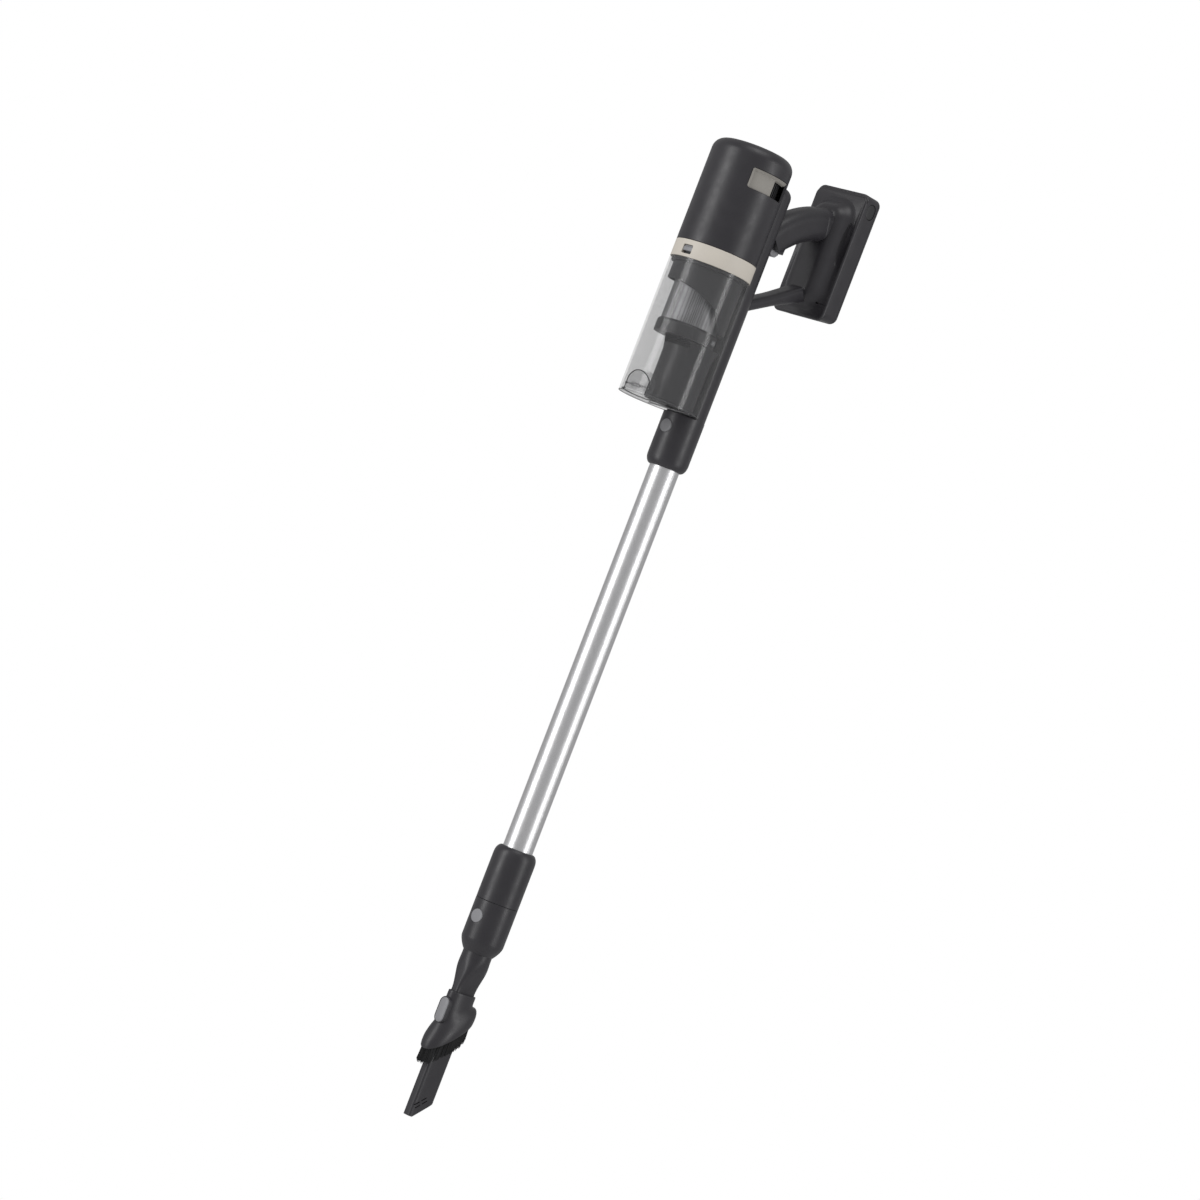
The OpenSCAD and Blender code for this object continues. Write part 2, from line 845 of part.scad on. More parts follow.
button_r = 8;
button_pocket = 4 + button_travel;
wand_button_z = z_cup - 17;
tool_button_z = z_coupling + 40;
tool_neck_r = 17;

module wand_tube() {
    color(metal) translate([0, 0, seam_z - 6])
        ring(tube_r, bore_r, z_socket + tube_in_socket - seam_z + 6);
}

// plastic end of the tube, with the air bore and the plug of the leads
module wand_end_cap() {
    color(dark) translate([0, 0, z_socket + tube_in_socket]) ring(tube_r, bore_r - 1, 4);
}

module coupling_upper() {
    color(charcoal) difference() {
        rounded_post(coupling_r, seam_z, z_tube, 0, end_round, end_tall);
        translate([0, 0, seam_z - 1]) cylinder(r = tube_r, h = coupling_h);
    }
}

module coupling_lower() {
    color(charcoal) difference() {
        rounded_post(coupling_r, z_coupling, seam_z - 0.3, end_round, 0, end_tall);
        translate([0, 0, seam_z - 6]) cylinder(r = tube_r, h = 10);
        translate([0, 0, z_coupling - 1]) cylinder(r = tool_neck_r + 0.3, h = tool_socket_top - z_coupling + 1);
        translate([0, 0, z_coupling]) cylinder(r = bore_r - 1, h = coupling_h);
        translate([0, -coupling_r - 1, tool_button_z]) rotate([-90, 0, 0])
            cylinder(r = button_r + 0.25, h = 1 + button_pocket);
        contact_pins(60);
    }
}

module contact_pins(len) {
    for (x = [-5, 5])
        translate([x, coupling_r - 5.3, z_coupling + 12]) cylinder(r = 1, h = len, $fn = 24);
}

// brass pins that carry current on to a powered head
module wand_contacts() {
    color(copper) contact_pins(44);
}

module wand_button() {
    color(grey) push_button(-socket_r, wand_button_z, button_r, 0.5);
}

module tool_button() {
    color(grey) push_button(-coupling_r, tool_button_z, button_r, 0.5);
}

spring_len = button_pocket - 2.25;
module button_spring(y, z) {
    color(metal) translate([0, y + 2.25, z]) rotate([-90, 0, 0])
        spring_stack(6.2, 0.35, spring_len, 4);
}

module wand_button_spring() {
    button_spring(-socket_r, wand_button_z);
}

module tool_button_spring() {
    button_spring(-coupling_r, tool_button_z);
}

// ---------------------------------------------------------------- two-in-one tool

nozzle_w = 12;
nozzle_d = 30.5;
nozzle_corner = 2.8;
nozzle_wall = 1.6;
taper_z0 = z_coupling - 46;
taper_z1 = z_coupling - 4;
tip_flat = 4;
tip_rise = 20;
ring_points = 48;
loft_step = 0.4;

// outline of the nozzle between its flat section (t = 0) and the round neck (t = 1)
function soft(t) = t * t * (3 - 2 * t);
function blend(a, b, t) = a + (b - a) * soft(t);
function section(a, b, p, z) = [for (i = [0:ring_points - 1])
    let (w = 360 * i / ring_points, c = cos(w), s = sin(w),
         k = pow(pow(abs(c), p) + pow(abs(s), p), -1 / p))
    [a * k * c, b * k * s, z]];

// a closed loft through rings of ring_points points
module loft(rings) {
    n = ring_points;
    m = len(rings);
    polyhedron(
        points = [for (r = rings) each r],
        faces = concat(
            [[for (i = [0:n - 1]) i]],
            [for (j = [0:m - 2], i = [0:n - 1])
                each [[j * n + i, (j + 1) * n + i, j * n + (i + 1) % n],
                      [j * n + (i + 1) % n, (j + 1) * n + i, (j + 1) * n + (i + 1) % n]]],
            [[for (i = [n - 1:-1:0]) (m - 1) * n + i]]
        )
    );
}

module nozzle_taper(inset, z0, z1) {
    steps = 8;
    loft([for (i = [0:steps]) let (t = i / steps)
        section(blend(nozzle_w / 2, tool_neck_r, t) - inset - loft_step,
                blend(nozzle_d / 2, tool_neck_r, t) - inset - loft_step,
                blend(5, 2, t), z0 + (z1 - z0) * t)]);
}

// straight crevice part, as an outline extruded to the tip
module crevice_outline(inset) {
    round_rect(nozzle_w - 2 * inset, nozzle_d - 2 * inset, nozzle_corner - inset / 2);
}

module nozzle() {
    slant = atan2(tip_rise, nozzle_d - tip_flat);
    color(charcoal) difference() {
        union() {
            linear_extrude(taper_z0 + 1) crevice_outline(0);
            nozzle_taper(0, taper_z0, taper_z1);
            translate([0, 0, taper_z1 - 1]) cylinder(r = tool_neck_r, h = 37);
        }
        translate([0, 0, -1]) linear_extrude(taper_z0 + 2.5) crevice_outline(nozzle_wall);
        nozzle_taper(nozzle_wall, taper_z0 + 1, taper_z1 + 0.2);
        translate([0, 0, taper_z1]) cylinder(r = tool_neck_r - nozzle_wall, h = 50);
        // slanted mouth
        translate([0, tip_flat - nozzle_d / 2, 0]) rotate([slant, 0, 0])
            translate([-20, 0, -60]) cube([40, 90, 60]);
        // two by two slots through both sides, parallel to the mouth
        for (row = [0, 1], col = [0, 1])
            translate([0, -nozzle_d / 2, 0]) rotate([slant, 0, 0])
                translate([-10, 9 + 11 * col, 5 + 5 * row]) cube([20, 8, 1.4]);
    }
}

// brush carriage that slides along the crevice part: its foot is a slanted oval, its top is level
carriage_top = z_coupling - 48;
foot_z = carriage_top - 48.5;
foot_slope = 0.786;
foot_x = 16.5;
foot_y = 28;
bristle_len = 19;
brush_button_z = carriage_top - 23.5;
button_front = -23.4;

// a level above the foot with its half width, half depth and share of the foot's slant
function level(h, a, b, slant) = [for (i = [0:ring_points - 1])
    let (w = 360 * i / ring_points, c = cos(w), s = sin(w),
         k = pow(pow(abs(c), 2.3) + pow(abs(s), 2.3), -1 / 2.3))
    [a * k * c, b * k * s, foot_z + foot_slope * slant * b * k * s + h]];

module carriage_body() {
    loft([
        level(0, foot_x, foot_y, 1),
        level(5, foot_x + 0.4, foot_y + 0.4, 1),
        level(11, foot_x + 0.1, foot_y + 0.1, 1),
        level(17, 15.3, 26, 0.96),
        level(23, 12.9, 22.4, 0.82),
        level(29, 11, 20.2, 0.6),
        level(36, 10.4, 19.6, 0.3),
        level(42, 10.3, 19.6, 0.08),
        level(carriage_top - foot_z, 10.3, 19.6, 0)
    ]);
}

module brush_carriage() {
    color(charcoal) difference() {
        union() {
            carriage_body();
            // raised frame round the button
            translate([0, button_front + 1.2, brush_button_z]) rotate([-90, 0, 0])
                linear_extrude(5) round_rect(16.4, 31.4, 8);
        }
        translate([0, 0, foot_z - foot_y])
            linear_extrude(120) round_rect(nozzle_w + 0.8, nozzle_d + 0.8, nozzle_corner + 0.3);
        // button seat
        translate([0, button_front - 10, brush_button_z]) rotate([-90, 0, 0])
            linear_extrude(16.2) round_rect(13.6, 29.6, 6.7);
    }
}

module brush_button() {
    color(grey) intersection() {
        translate([0, button_front, brush_button_z]) rotate([-90, 0, 0])
            linear_extrude(3.5) round_rect(13, 29, 6.4);
        translate([0, button_front + 64.5, brush_button_z]) rotate([0, 90, 0])
            cylinder(r = 64.5, h = 40, center = true);
    }
}

// tufts on an oval round the nozzle, under the carriage's slanted foot
module bristles() {
    tufts = 36;
    color(dark) for (i = [0:tufts - 1]) {
        w = 360 * i / tufts;
        x = (foot_x - 2.2) * cos(w);
        y = (foot_y - 2.6) * sin(w);
        translate([x, y, foot_z + foot_slope * y - bristle_len])
            cylinder(r = 0.9, h = bristle_len + 1.6, $fn = 16);
    }
}

// ---------------------------------------------------------------- battery

case_wall = 1.6;
battery_lift = 3;
mid_z = slab_z + battery_h / 2;
pack_z = slab_z + battery_lift;
pack_mid = mid_z + battery_lift;
cell_y = pack_y + 0.3 + case_wall + cell_d / 2;
cell_pitch = 18.9;
latch_w = 14;
latch_h = 18;
side_z = pack_z + battery_h - 17.5;

module battery_outline(inset) {
    round_rect(battery_w - 2 * inset, battery_h - 2 * inset, slab_corner - inset);
}

// front tray with the cells; it faces the dock plate
module battery_case() {
    depth = battery_t - 6;
    color(charcoal) difference() {
        translate([0, pack_y + 0.2 + depth, pack_mid]) rotate([90, 0, 0])
            linear_extrude(depth) battery_outline(0);
        translate([0, pack_y + 1 + depth, pack_mid]) rotate([90, 0, 0])
            linear_extrude(depth - case_wall + 0.8) battery_outline(case_wall);
        battery_side_cuts();
        // charging socket in the bottom edge
        translate([20, pack_y + 8, pack_z - 1]) cylinder(r = jack_r, h = 8);
    }
}

// rear shell with the flat back
module battery_cover() {
    color(charcoal) difference() {
        translate([0, pack_back, pack_mid]) rotate([90, 0, 0])
            linear_extrude(5.8) battery_outline(0);
        translate([0, pack_back - case_wall, pack_mid]) rotate([90, 0, 0])
            linear_extrude(10) battery_outline(case_wall);
        battery_side_cuts();
    }
}

module latch_outline(grow) {
    round_rect(latch_w + 2 * grow, latch_h + 2 * grow, latch_w / 2 + grow - 0.3);
}

module battery_side_cuts() {
    for (side = [-1, 1])
        translate([side * battery_w / 2 - 4, pack_y + 11, side_z]) rotate([90, 0, 90])
            linear_extrude(8) latch_outline(0.3);
}

module battery_latch(side) {
    color(dark) translate([side * (battery_w / 2 - 0.2), pack_y + 11, side_z])
        rotate([90, 0, side > 0 ? -90 : 90]) linear_extrude(3) latch_outline(0);
}

module battery_latch_left() {
    battery_latch(-1);
}

module battery_latch_right() {
    battery_latch(1);
}

cells_z0 = pack_z + 10;
module battery_cells() {
    color([0.35, 0.55, 0.35]) for (i = [0:cell_count - 1])
        translate([0, cell_y, cells_z0 + cell_d / 2 + i * cell_pitch]) rotate([0, 90, 0])
            cylinder(r = cell_d / 2, h = cell_l, center = true);
}

// nickel strips that join the cells' ends in pairs
module cell_straps() {
    color(metal) for (side = [-1, 1], i = [0:2]) {
        first = side > 0 ? 2 * i : 2 * i + 1;
        translate([side * (cell_l / 2 + 0.15), cell_y, cells_z0 + cell_d / 2 + (first + 0.5) * cell_pitch])
            cube([0.3, 7, cell_pitch + 9], center = true);
    }
}

module battery_board() {
    color([0.1, 0.3, 0.16]) translate([-30, pack_y + 3, pack_z + battery_h - 7]) cube([60, 14, 1.6]);
}

jack_r = 4.6;
plug_r = 2.8;
module charge_jack() {
    color(dark) translate([20, pack_y + 8, pack_z]) difference() {
        cylinder(r = jack_r, h = 8);
        translate([0, 0, -1]) cylinder(r = plug_r, h = 7);
    }
}

// ---------------------------------------------------------------- assembly

motor_housing();
exhaust_liner();
exhaust_grille();
exhaust_filter();
fan_cover();
motor_can();
motor_stator();
motor_bearings();
motor_mount();
impeller();
motor_shaft();
control_board();
spine();
inlet_seal();
handle_left();
handle_right();
handle_screws();
brace();
dock_plate();
dock_contacts();
trigger();
trigger_pin();
trigger_switch();
trigger_spring();
cup_ring();
cup_release();
dust_cup();
cyclone_shroud();
mesh_screen();
cyclone_collar();
cyclone_body();
pre_filter();
cup_seal();
cup_lid();
lid_seal();
lid_pin();
lid_latch();
latch_pin();
latch_spring();
wand_tube();
wand_end_cap();
coupling_upper();
coupling_lower();
wand_contacts();
wand_button();
tool_button();
wand_button_spring();
tool_button_spring();
nozzle();
brush_carriage();
bristles();
brush_button();
battery_case();
battery_cover();
battery_cells();
cell_straps();
battery_board();
battery_latch_left();
battery_latch_right();
charge_jack();
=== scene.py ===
"""Looks of a cordless stick vacuum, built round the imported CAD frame.

Helpers take millimetres in the frame's own axes; MM turns them into metres. Z runs up the wand,
-Y is the front (dust cup and buttons) and +Y the rear (handle and battery).
"""
import json
import math
import random

import bmesh
import bpy
from mathutils import Matrix, Vector


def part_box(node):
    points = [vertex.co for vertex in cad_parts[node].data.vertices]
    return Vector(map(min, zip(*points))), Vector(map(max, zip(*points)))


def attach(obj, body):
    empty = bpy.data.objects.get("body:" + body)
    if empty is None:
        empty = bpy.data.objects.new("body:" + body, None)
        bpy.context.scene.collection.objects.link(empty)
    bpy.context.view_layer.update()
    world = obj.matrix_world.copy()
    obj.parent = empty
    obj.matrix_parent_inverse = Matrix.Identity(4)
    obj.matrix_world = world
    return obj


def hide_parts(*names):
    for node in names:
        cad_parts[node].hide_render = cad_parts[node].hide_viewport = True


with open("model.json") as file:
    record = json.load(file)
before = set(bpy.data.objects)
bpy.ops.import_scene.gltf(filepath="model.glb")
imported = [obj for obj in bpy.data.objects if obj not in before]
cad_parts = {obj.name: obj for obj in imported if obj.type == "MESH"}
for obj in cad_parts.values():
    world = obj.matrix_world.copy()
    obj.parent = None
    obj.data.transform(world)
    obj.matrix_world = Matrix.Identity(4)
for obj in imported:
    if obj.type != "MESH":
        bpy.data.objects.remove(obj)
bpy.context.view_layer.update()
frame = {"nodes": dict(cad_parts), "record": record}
MM = 0.001


def span(node):
    """Lowest and highest corner of a CAD node, in mm."""
    low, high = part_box(node)
    return low / MM, high / MM


# ---------------------------------------------------------------- places taken from the CAD

HOUSE_LOW, HOUSE_HIGH = span("motor_housing")
RING_LOW, RING_HIGH = span("cup_ring")
CUP_LOW, _ = span("dust_cup")
TAB_LOW, TAB_HIGH = span("cup_release")
DOCK_LOW, DOCK_HIGH = span("dock_plate")
CASE_LOW, CASE_HIGH = span("battery_case")
COVER_LOW, COVER_HIGH = span("battery_cover")
_, NOZZLE_HIGH = span("nozzle")
_, CARRIAGE_HIGH = span("brush_carriage")

BODY_R = (HOUSE_HIGH.x - HOUSE_LOW.x) / 2
BODY_Y = (HOUSE_HIGH.y + HOUSE_LOW.y) / 2
Z_HOUSE = RING_HIGH.z + 0.15
Z_TOP = HOUSE_HIGH.z
Z_RING = RING_LOW.z
Z_CUP = CUP_LOW.z


# ---------------------------------------------------------------- outlines

def fillet(points, steps=5):
    """A closed outline of (x, y, radius) corners as plain points, each corner rounded."""
    out = []
    count = len(points)
    for i, (x, y, r) in enumerate(points):
        corner = Vector((x, y))
        back = Vector(points[i - 1][:2]) - corner
        ahead = Vector(points[(i + 1) % count][:2]) - corner
        if r <= 0 or back.length < 1e-6 or ahead.length < 1e-6:
            out.append((x, y))
            continue
        half = back.angle(ahead) / 2
        reach = min(r / math.tan(half), 0.49 * back.length, 0.49 * ahead.length)
        radius = reach * math.tan(half)
        u, v = back.normalized(), ahead.normalized()
        centre = corner + (u + v).normalized() * (radius / math.sin(half))
        start, end = corner + u * reach - centre, corner + v * reach - centre
        turn = start.angle_signed(end)
        for k in range(steps + 1):
            a = -turn * k / steps
            out.append((centre.x + start.x * math.cos(a) - start.y * math.sin(a),
                        centre.y + start.x * math.sin(a) + start.y * math.cos(a)))
    return out


def rrect(w, h, r, steps=8):
    """Round-cornered rectangle about the origin, always 4 * (steps + 1) points."""
    r = max(min(r, w / 2, h / 2), 0.001)
    out = []
    for quarter, (sx, sy) in enumerate(((1, 1), (-1, 1), (-1, -1), (1, -1))):
        for k in range(steps + 1):
            a = math.pi / 2 * (quarter + k / steps)
            out.append((sx * (w / 2 - r) + r * math.cos(a), sy * (h / 2 - r) + r * math.sin(a)))
    return out


def super_oval(a, b, power, count=64):
    """Outline of a superellipse with half axes a and b."""
    out = []
    for i in range(count):
        w = 2 * math.pi * i / count
        c, s = math.cos(w), math.sin(w)
        k = (abs(c) ** power + abs(s) ** power) ** (-1 / power)
        out.append((a * k * c, b * k * s))
    return out


def edge_rings(t0, t1, edge, steps=3):
    """(inset, level) pairs that round over both edges of a slab between levels t0 and t1."""
    up = [(edge * (1 - math.sin(math.pi / 2 * k / steps)),
           t0 + edge * (1 - math.cos(math.pi / 2 * k / steps))) for k in range(steps + 1)]
    return up + [(inset, t0 + t1 - level) for inset, level in reversed(up)]


def smooth(t):
    t = min(max(t, 0.0), 1.0)
    return t * t * (3 - 2 * t)


# ---------------------------------------------------------------- meshes

def build(name, verts, faces):
    """An object from points in mm, with doubled points merged and faces turned outwards."""
    mesh = bpy.data.meshes.new(name)
    mesh.from_pydata([Vector(v) * MM for v in verts], [], faces)
    work = bmesh.new()
    work.from_mesh(mesh)
    bmesh.ops.remove_doubles(work, verts=work.verts, dist=1e-6)
    bmesh.ops.dissolve_degenerate(work, edges=work.edges, dist=1e-6)
    bmesh.ops.delete(work, geom=[e for e in work.edges if not e.link_faces], context="EDGES")
    bmesh.ops.recalc_face_normals(work, faces=work.faces)
    work.to_mesh(mesh)
    work.free()
    obj = bpy.data.objects.new(name, mesh)
    bpy.context.scene.collection.objects.link(obj)
    return obj


def skin(rings, closed=False):
    """Faces between rings of equal length; the ends are capped unless the rings close up."""
    n, m = len(rings[0]), len(rings)
    faces = []
    for j in range(m if closed else m - 1):
        a, b = j * n, ((j + 1) % m) * n
        faces += [(a + i, a + (i + 1) % n, b + (i + 1) % n, b + i) for i in range(n)]
    if not closed:
        faces += [tuple(range(n))[::-1], tuple(range((m - 1) * n, m * n))]
    return faces


def loft(name, rings, closed=False):
    return build(name, [p for ring in rings for p in ring], skin(rings, closed))


def on_axis(r, angle, z, x=0.0, y=None):
    """Point at radius r, at an angle in degrees from the front towards +X, about an upright axis."""
    a = math.radians(angle)
    return (x + r * math.sin(a), (BODY_Y if y is None else y) - r * math.cos(a), z)


def turned(name, profile, start=0.0, stop=360.0, steps=128, x=0.0, y=None):
    """A closed (r, z) profile turned about an upright axis, all the way or over a sector."""
    whole = abs(stop - start) >= 360
    count = steps if whole else steps + 1
    rings = [[on_axis(r, start + (stop - start) * i / steps, z, x, y) for r, z in profile]
             for i in range(count)]
    return loft(name, rings, closed=whole)


def settle(obj):
    """Applies an object's modifiers."""
    graph = bpy.context.evaluated_depsgraph_get()
    mesh = bpy.data.meshes.new_from_object(obj.evaluated_get(graph))
    obj.modifiers.clear()
    obj.data = mesh


def carve(obj, *cutters):
    """Cuts closed meshes out of obj."""
    for cutter in cutters:
        step = obj.modifiers.new("cut", "BOOLEAN")
        step.operation = "DIFFERENCE"
        step.solver = "EXACT"
        step.object = cutter
        settle(obj)
        bpy.data.objects.remove(cutter)
    return obj


def merge(obj, *others):
    """Unites closed meshes with obj."""
    for other in others:
        step = obj.modifiers.new("join", "BOOLEAN")
        step.operation = "UNION"
        step.solver = "EXACT"
        step.object = other
        settle(obj)
        bpy.data.objects.remove(other)
    return obj


def round_edges(obj, width, segments=3, angle=35):
    step = obj.modifiers.new("bevel", "BEVEL")
    step.width = width * MM
    step.segments = segments
    step.limit_method = "ANGLE"
    step.angle_limit = math.radians(angle)
    settle(obj)
    return obj


def wear(obj, material, body, stands_for=(), sharp=32):
    """Gives a piece its material and its body, and hides the CAD nodes that it stands for."""
    obj.data.materials.clear()
    obj.data.materials.append(material)
    for face in obj.data.polygons:
        face.use_smooth = True
        face.material_index = 0
    obj.data.set_sharp_from_angle(angle=math.radians(sharp))
    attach(obj, body)
    if stands_for:
        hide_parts(*stands_for)
    return obj


def slab_y(name, w, h, r, y0, y1, z, edge, x=0.0):
    """Round-cornered slab that is thick along Y, with its edges rounded over."""
    return loft(name, [[(x + px, y, z + pz) for px, pz in rrect(w - 2 * i, h - 2 * i, r - i)]
                       for i, y in edge_rings(y0, y1, edge)])


def slab_x(name, w, h, r, x0, x1, y, z, edge):
    """Round-cornered slab that is thick along X, with its edges rounded over."""
    return loft(name, [[(x, y + py, z + pz) for py, pz in rrect(w - 2 * i, h - 2 * i, r - i)]
                       for i, x in edge_rings(x0, x1, edge)])


def prism_x(name, outline, x0, x1):
    """An outline in Y and Z, drawn out along X."""
    return loft(name, [[(x, y, z) for y, z in outline] for x in (x0, x1)])


def tunnel_y(name, w, h, r, x, z, y0, y1, flare=0.0):
    """Cutter along Y whose near end (y0) is wider by the flare."""
    rows = [(w + 4 * flare, h + 4 * flare, y0 - flare), (w, h, y0 + flare), (w, h, y1)]
    return loft(name, [[(x + px, y, z + pz) for px, pz in rrect(a, b, r)] for a, b, y in rows])


def sweep(name, path, section):
    """Sections along a path in the YZ plane. path holds (y, z, scale) and section (x, out)."""
    rings = []
    for i, (y, z, grow) in enumerate(path):
        y0, z0 = path[max(i - 1, 0)][:2]
        y1, z1 = path[min(i + 1, len(path) - 1)][:2]
        along = Vector((y1 - y0, z1 - z0)).normalized()
        rings.append([(x * grow, y - along.y * out * grow, z + along.x * out * grow)
                      for x, out in section])
    return loft(name, rings)


# ---------------------------------------------------------------- materials

def blank(name):
    material = bpy.data.materials.new(name)
    material.use_nodes = True
    tree = material.node_tree
    return material, tree, tree.nodes["Principled BSDF"]


def node(tree, kind, **inputs):
    made = tree.nodes.new(kind)
    for key, value in inputs.items():
        made.inputs[key.replace("_", " ")].default_value = value
    return made


def place(tree, stretch=(1, 1, 1)):
    """Frame coordinates in metres, stretched."""
    where = tree.nodes.new("ShaderNodeTexCoord")
    mapping = tree.nodes.new("ShaderNodeMapping")
    mapping.inputs["Scale"].default_value = stretch
    tree.links.new(where.outputs["Object"], mapping.inputs["Vector"])
    return mapping.outputs["Vector"]


def noise(tree, where, scale, detail=2.0, rough=0.5):
    made = node(tree, "ShaderNodeTexNoise", Scale=scale, Detail=detail, Roughness=rough)
    tree.links.new(where, made.inputs["Vector"])
    return made.outputs["Fac"]


def ramp(tree, value, stops):
    """Colour ramp over (position, colour) stops."""
    made = tree.nodes.new("ShaderNodeValToRGB")
    band = made.color_ramp
    while len(band.elements) < len(stops):
        band.elements.new(0.5)
    for element, (position, colour) in zip(band.elements, stops):
        element.position = position
        element.color = (*colour, 1.0)
    tree.links.new(value, made.inputs["Fac"])
    return made.outputs["Color"]


def spread(tree, value, low, high, start=0.3, stop=0.7):
    """Maps a noise value to the range low..high."""
    made = node(tree, "ShaderNodeMapRange")
    for key, number in zip(("From Min", "From Max", "To Min", "To Max"), (start, stop, low, high)):
        made.inputs[key].default_value = number
    tree.links.new(value, made.inputs["Value"])
    return made.outputs["Result"]


def bump(tree, height, shader, strength, depth):
    """Bump from a height value; depth is in mm."""
    made = node(tree, "ShaderNodeBump", Strength=strength, Distance=depth * MM)
    tree.links.new(height, made.inputs["Height"])
    tree.links.new(made.outputs["Normal"], shader.inputs["Normal"])
    return made


def mixed(tree, a, b, share):
    """Mix of two colours by a value."""
    made = tree.nodes.new("ShaderNodeMix")
    made.data_type = "RGBA"
    tree.links.new(share, made.inputs[0])
    for socket, source in ((made.inputs[6], a), (made.inputs[7], b)):
        if isinstance(source, tuple):
            socket.default_value = (*source, 1.0)
        else:
            tree.links.new(source, socket)
    return made.outputs[2]


def tint(colour, factor):
    return tuple(min(1.0, c * factor) for c in colour)


def plastic(name, colour, rough, grain=0.25, mottle=0.1, scale=1500.0, specular=0.5):
    """Moulded plastic: fine spark-eroded grain, faint mottling and uneven gloss."""
    material, tree, shader = blank(name)
    where = place(tree)
    broad = noise(tree, where, 38.0, 3.0)
    fine = noise(tree, where, scale, 2.0, 0.6)
    base = ramp(tree, broad, [(0.3, tint(colour, 1 - mottle)), (0.7, tint(colour, 1 + mottle))])
    speckle = 1.6 * mottle
    speck = ramp(tree, fine, [(0.35, tint(colour, 1 - speckle)), (0.65, tint(colour, 1 + speckle))])
    half = node(tree, "ShaderNodeValue")
    half.outputs[0].default_value = 0.5
    tree.links.new(mixed(tree, base, speck, half.outputs[0]), shader.inputs["Base Color"])
    tree.links.new(spread(tree, noise(tree, where, 90.0, 2.0), rough - 0.05, rough + 0.05),
                   shader.inputs["Roughness"])
    shader.inputs["Specular IOR Level"].default_value = specular
    bump(tree, fine, shader, grain, 0.12)
    return material


def blasted_metal(name, colour, rough, grain, scale, speckle):
    """Bead-blasted, anodised metal: grains glint apart from each other."""
    material, tree, shader = blank(name)
    where = place(tree)
    fine = noise(tree, where, scale, 1.0, 0.7)
    coarse = noise(tree, where, scale * 0.45, 2.0, 0.6)
    streak = noise(tree, place(tree, (1, 1, 0.03)), 160.0, 2.0)
    shade = ramp(tree, fine, [(0.32, tint(colour, 1 - speckle)), (0.68, tint(colour, 1 + speckle))])
    drawn = ramp(tree, streak, [(0.3, tint(colour, 0.97)), (0.7, tint(colour, 1.02))])
    tree.links.new(mixed(tree, shade, drawn, spread(tree, coarse, 0.25, 0.6)),
                   shader.inputs["Base Color"])
    tree.links.new(spread(tree, coarse, rough - 0.06, rough + 0.08), shader.inputs["Roughness"])
    shader.inputs["Metallic"].default_value = 1.0
    bump(tree, fine, shader, grain, 0.2)
    return material


def smooth_metal(name, colour, rough):
    material, tree, shader = blank(name)
    where = place(tree)
    scratch = noise(tree, place(tree, (1, 1, 14)), 260.0, 3.0)
    base = ramp(tree, noise(tree, where, 240.0, 2.0),
                [(0.3, tint(colour, 0.9)), (0.7, tint(colour, 1.05))])
    tree.links.new(base, shader.inputs["Base Color"])
    tree.links.new(spread(tree, scratch, rough - 0.06, rough + 0.1), shader.inputs["Roughness"])
    shader.inputs["Metallic"].default_value = 1.0
    bump(tree, scratch, shader, 0.1, 0.05)
    return material


def clear_plastic(name, colour, alpha, rough=0.06):
    """Smoky see-through moulding with faint flow marks."""
    material, tree, shader = blank(name)
    where = place(tree, (1, 1, 0.4))
    flow = noise(tree, where, 30.0, 2.0)
    tree.links.new(ramp(tree, flow, [(0.3, tint(colour, 0.92)), (0.7, tint(colour, 1.08))]),
                   shader.inputs["Base Color"])
    tree.links.new(spread(tree, flow, rough, rough + 0.05), shader.inputs["Roughness"])
    shader.inputs["Alpha"].default_value = alpha
    shader.inputs["Specular IOR Level"].default_value = 0.9
    bump(tree, flow, shader, 0.03, 0.2)
    return material


def perforated(name, metal, hole_shade, pitch):
    """Fine metal screen: a grid of holes in mottled metal, the holes filled with painted shade, a
    near-black colour standing in for the dark seen through them.
    """
    material, tree, shader = blank(name)
    where = place(tree, (1 / (pitch * MM),) * 3)
    dots = node(tree, "ShaderNodeTexVoronoi", Scale=1.0, Randomness=0.0)
    tree.links.new(where, dots.inputs["Vector"])
    share = spread(tree, dots.outputs["Distance"], 1.0, 0.0, 0.28, 0.42)
    patch = ramp(tree, noise(tree, place(tree), 60.0, 3.0),
                 [(0.3, tint(metal, 0.8)), (0.7, tint(metal, 1.15))])
    # the dots take the painted shade colour of the holes
    tree.links.new(mixed(tree, patch, hole_shade, share), shader.inputs["Base Color"])
    shader.inputs["Metallic"].default_value = 0.85
    tree.links.new(spread(tree, dots.outputs["Distance"], 0.3, 0.48, 0.1, 0.5),
                   shader.inputs["Roughness"])
    bump(tree, dots.outputs["Distance"], shader, 0.4, 0.2)
    return material


def paper(name, colour):
    material, tree, shader = blank(name)
    where = place(tree)
    fibre = noise(tree, place(tree, (1, 1, 0.2)), 900.0, 4.0)
    tree.links.new(ramp(tree, fibre, [(0.3, tint(colour, 0.85)), (0.7, colour)]),
                   shader.inputs["Base Color"])
    shader.inputs["Roughness"].default_value = 0.92
    bump(tree, noise(tree, where, 1400.0, 3.0), shader, 0.5, 0.2)
    return material


CHARCOAL = (0.0265, 0.025, 0.0295)
DARK = (0.021, 0.021, 0.023)
BEIGE = (0.62, 0.575, 0.51)
# Beige darkened to about half: painted shade for the lining recessed behind the exhaust windows.
BEIGE_IN_SHADE = (0.3, 0.285, 0.26)
GREY = (0.26, 0.26, 0.275)
GREY_DARK = (0.16, 0.16, 0.168)

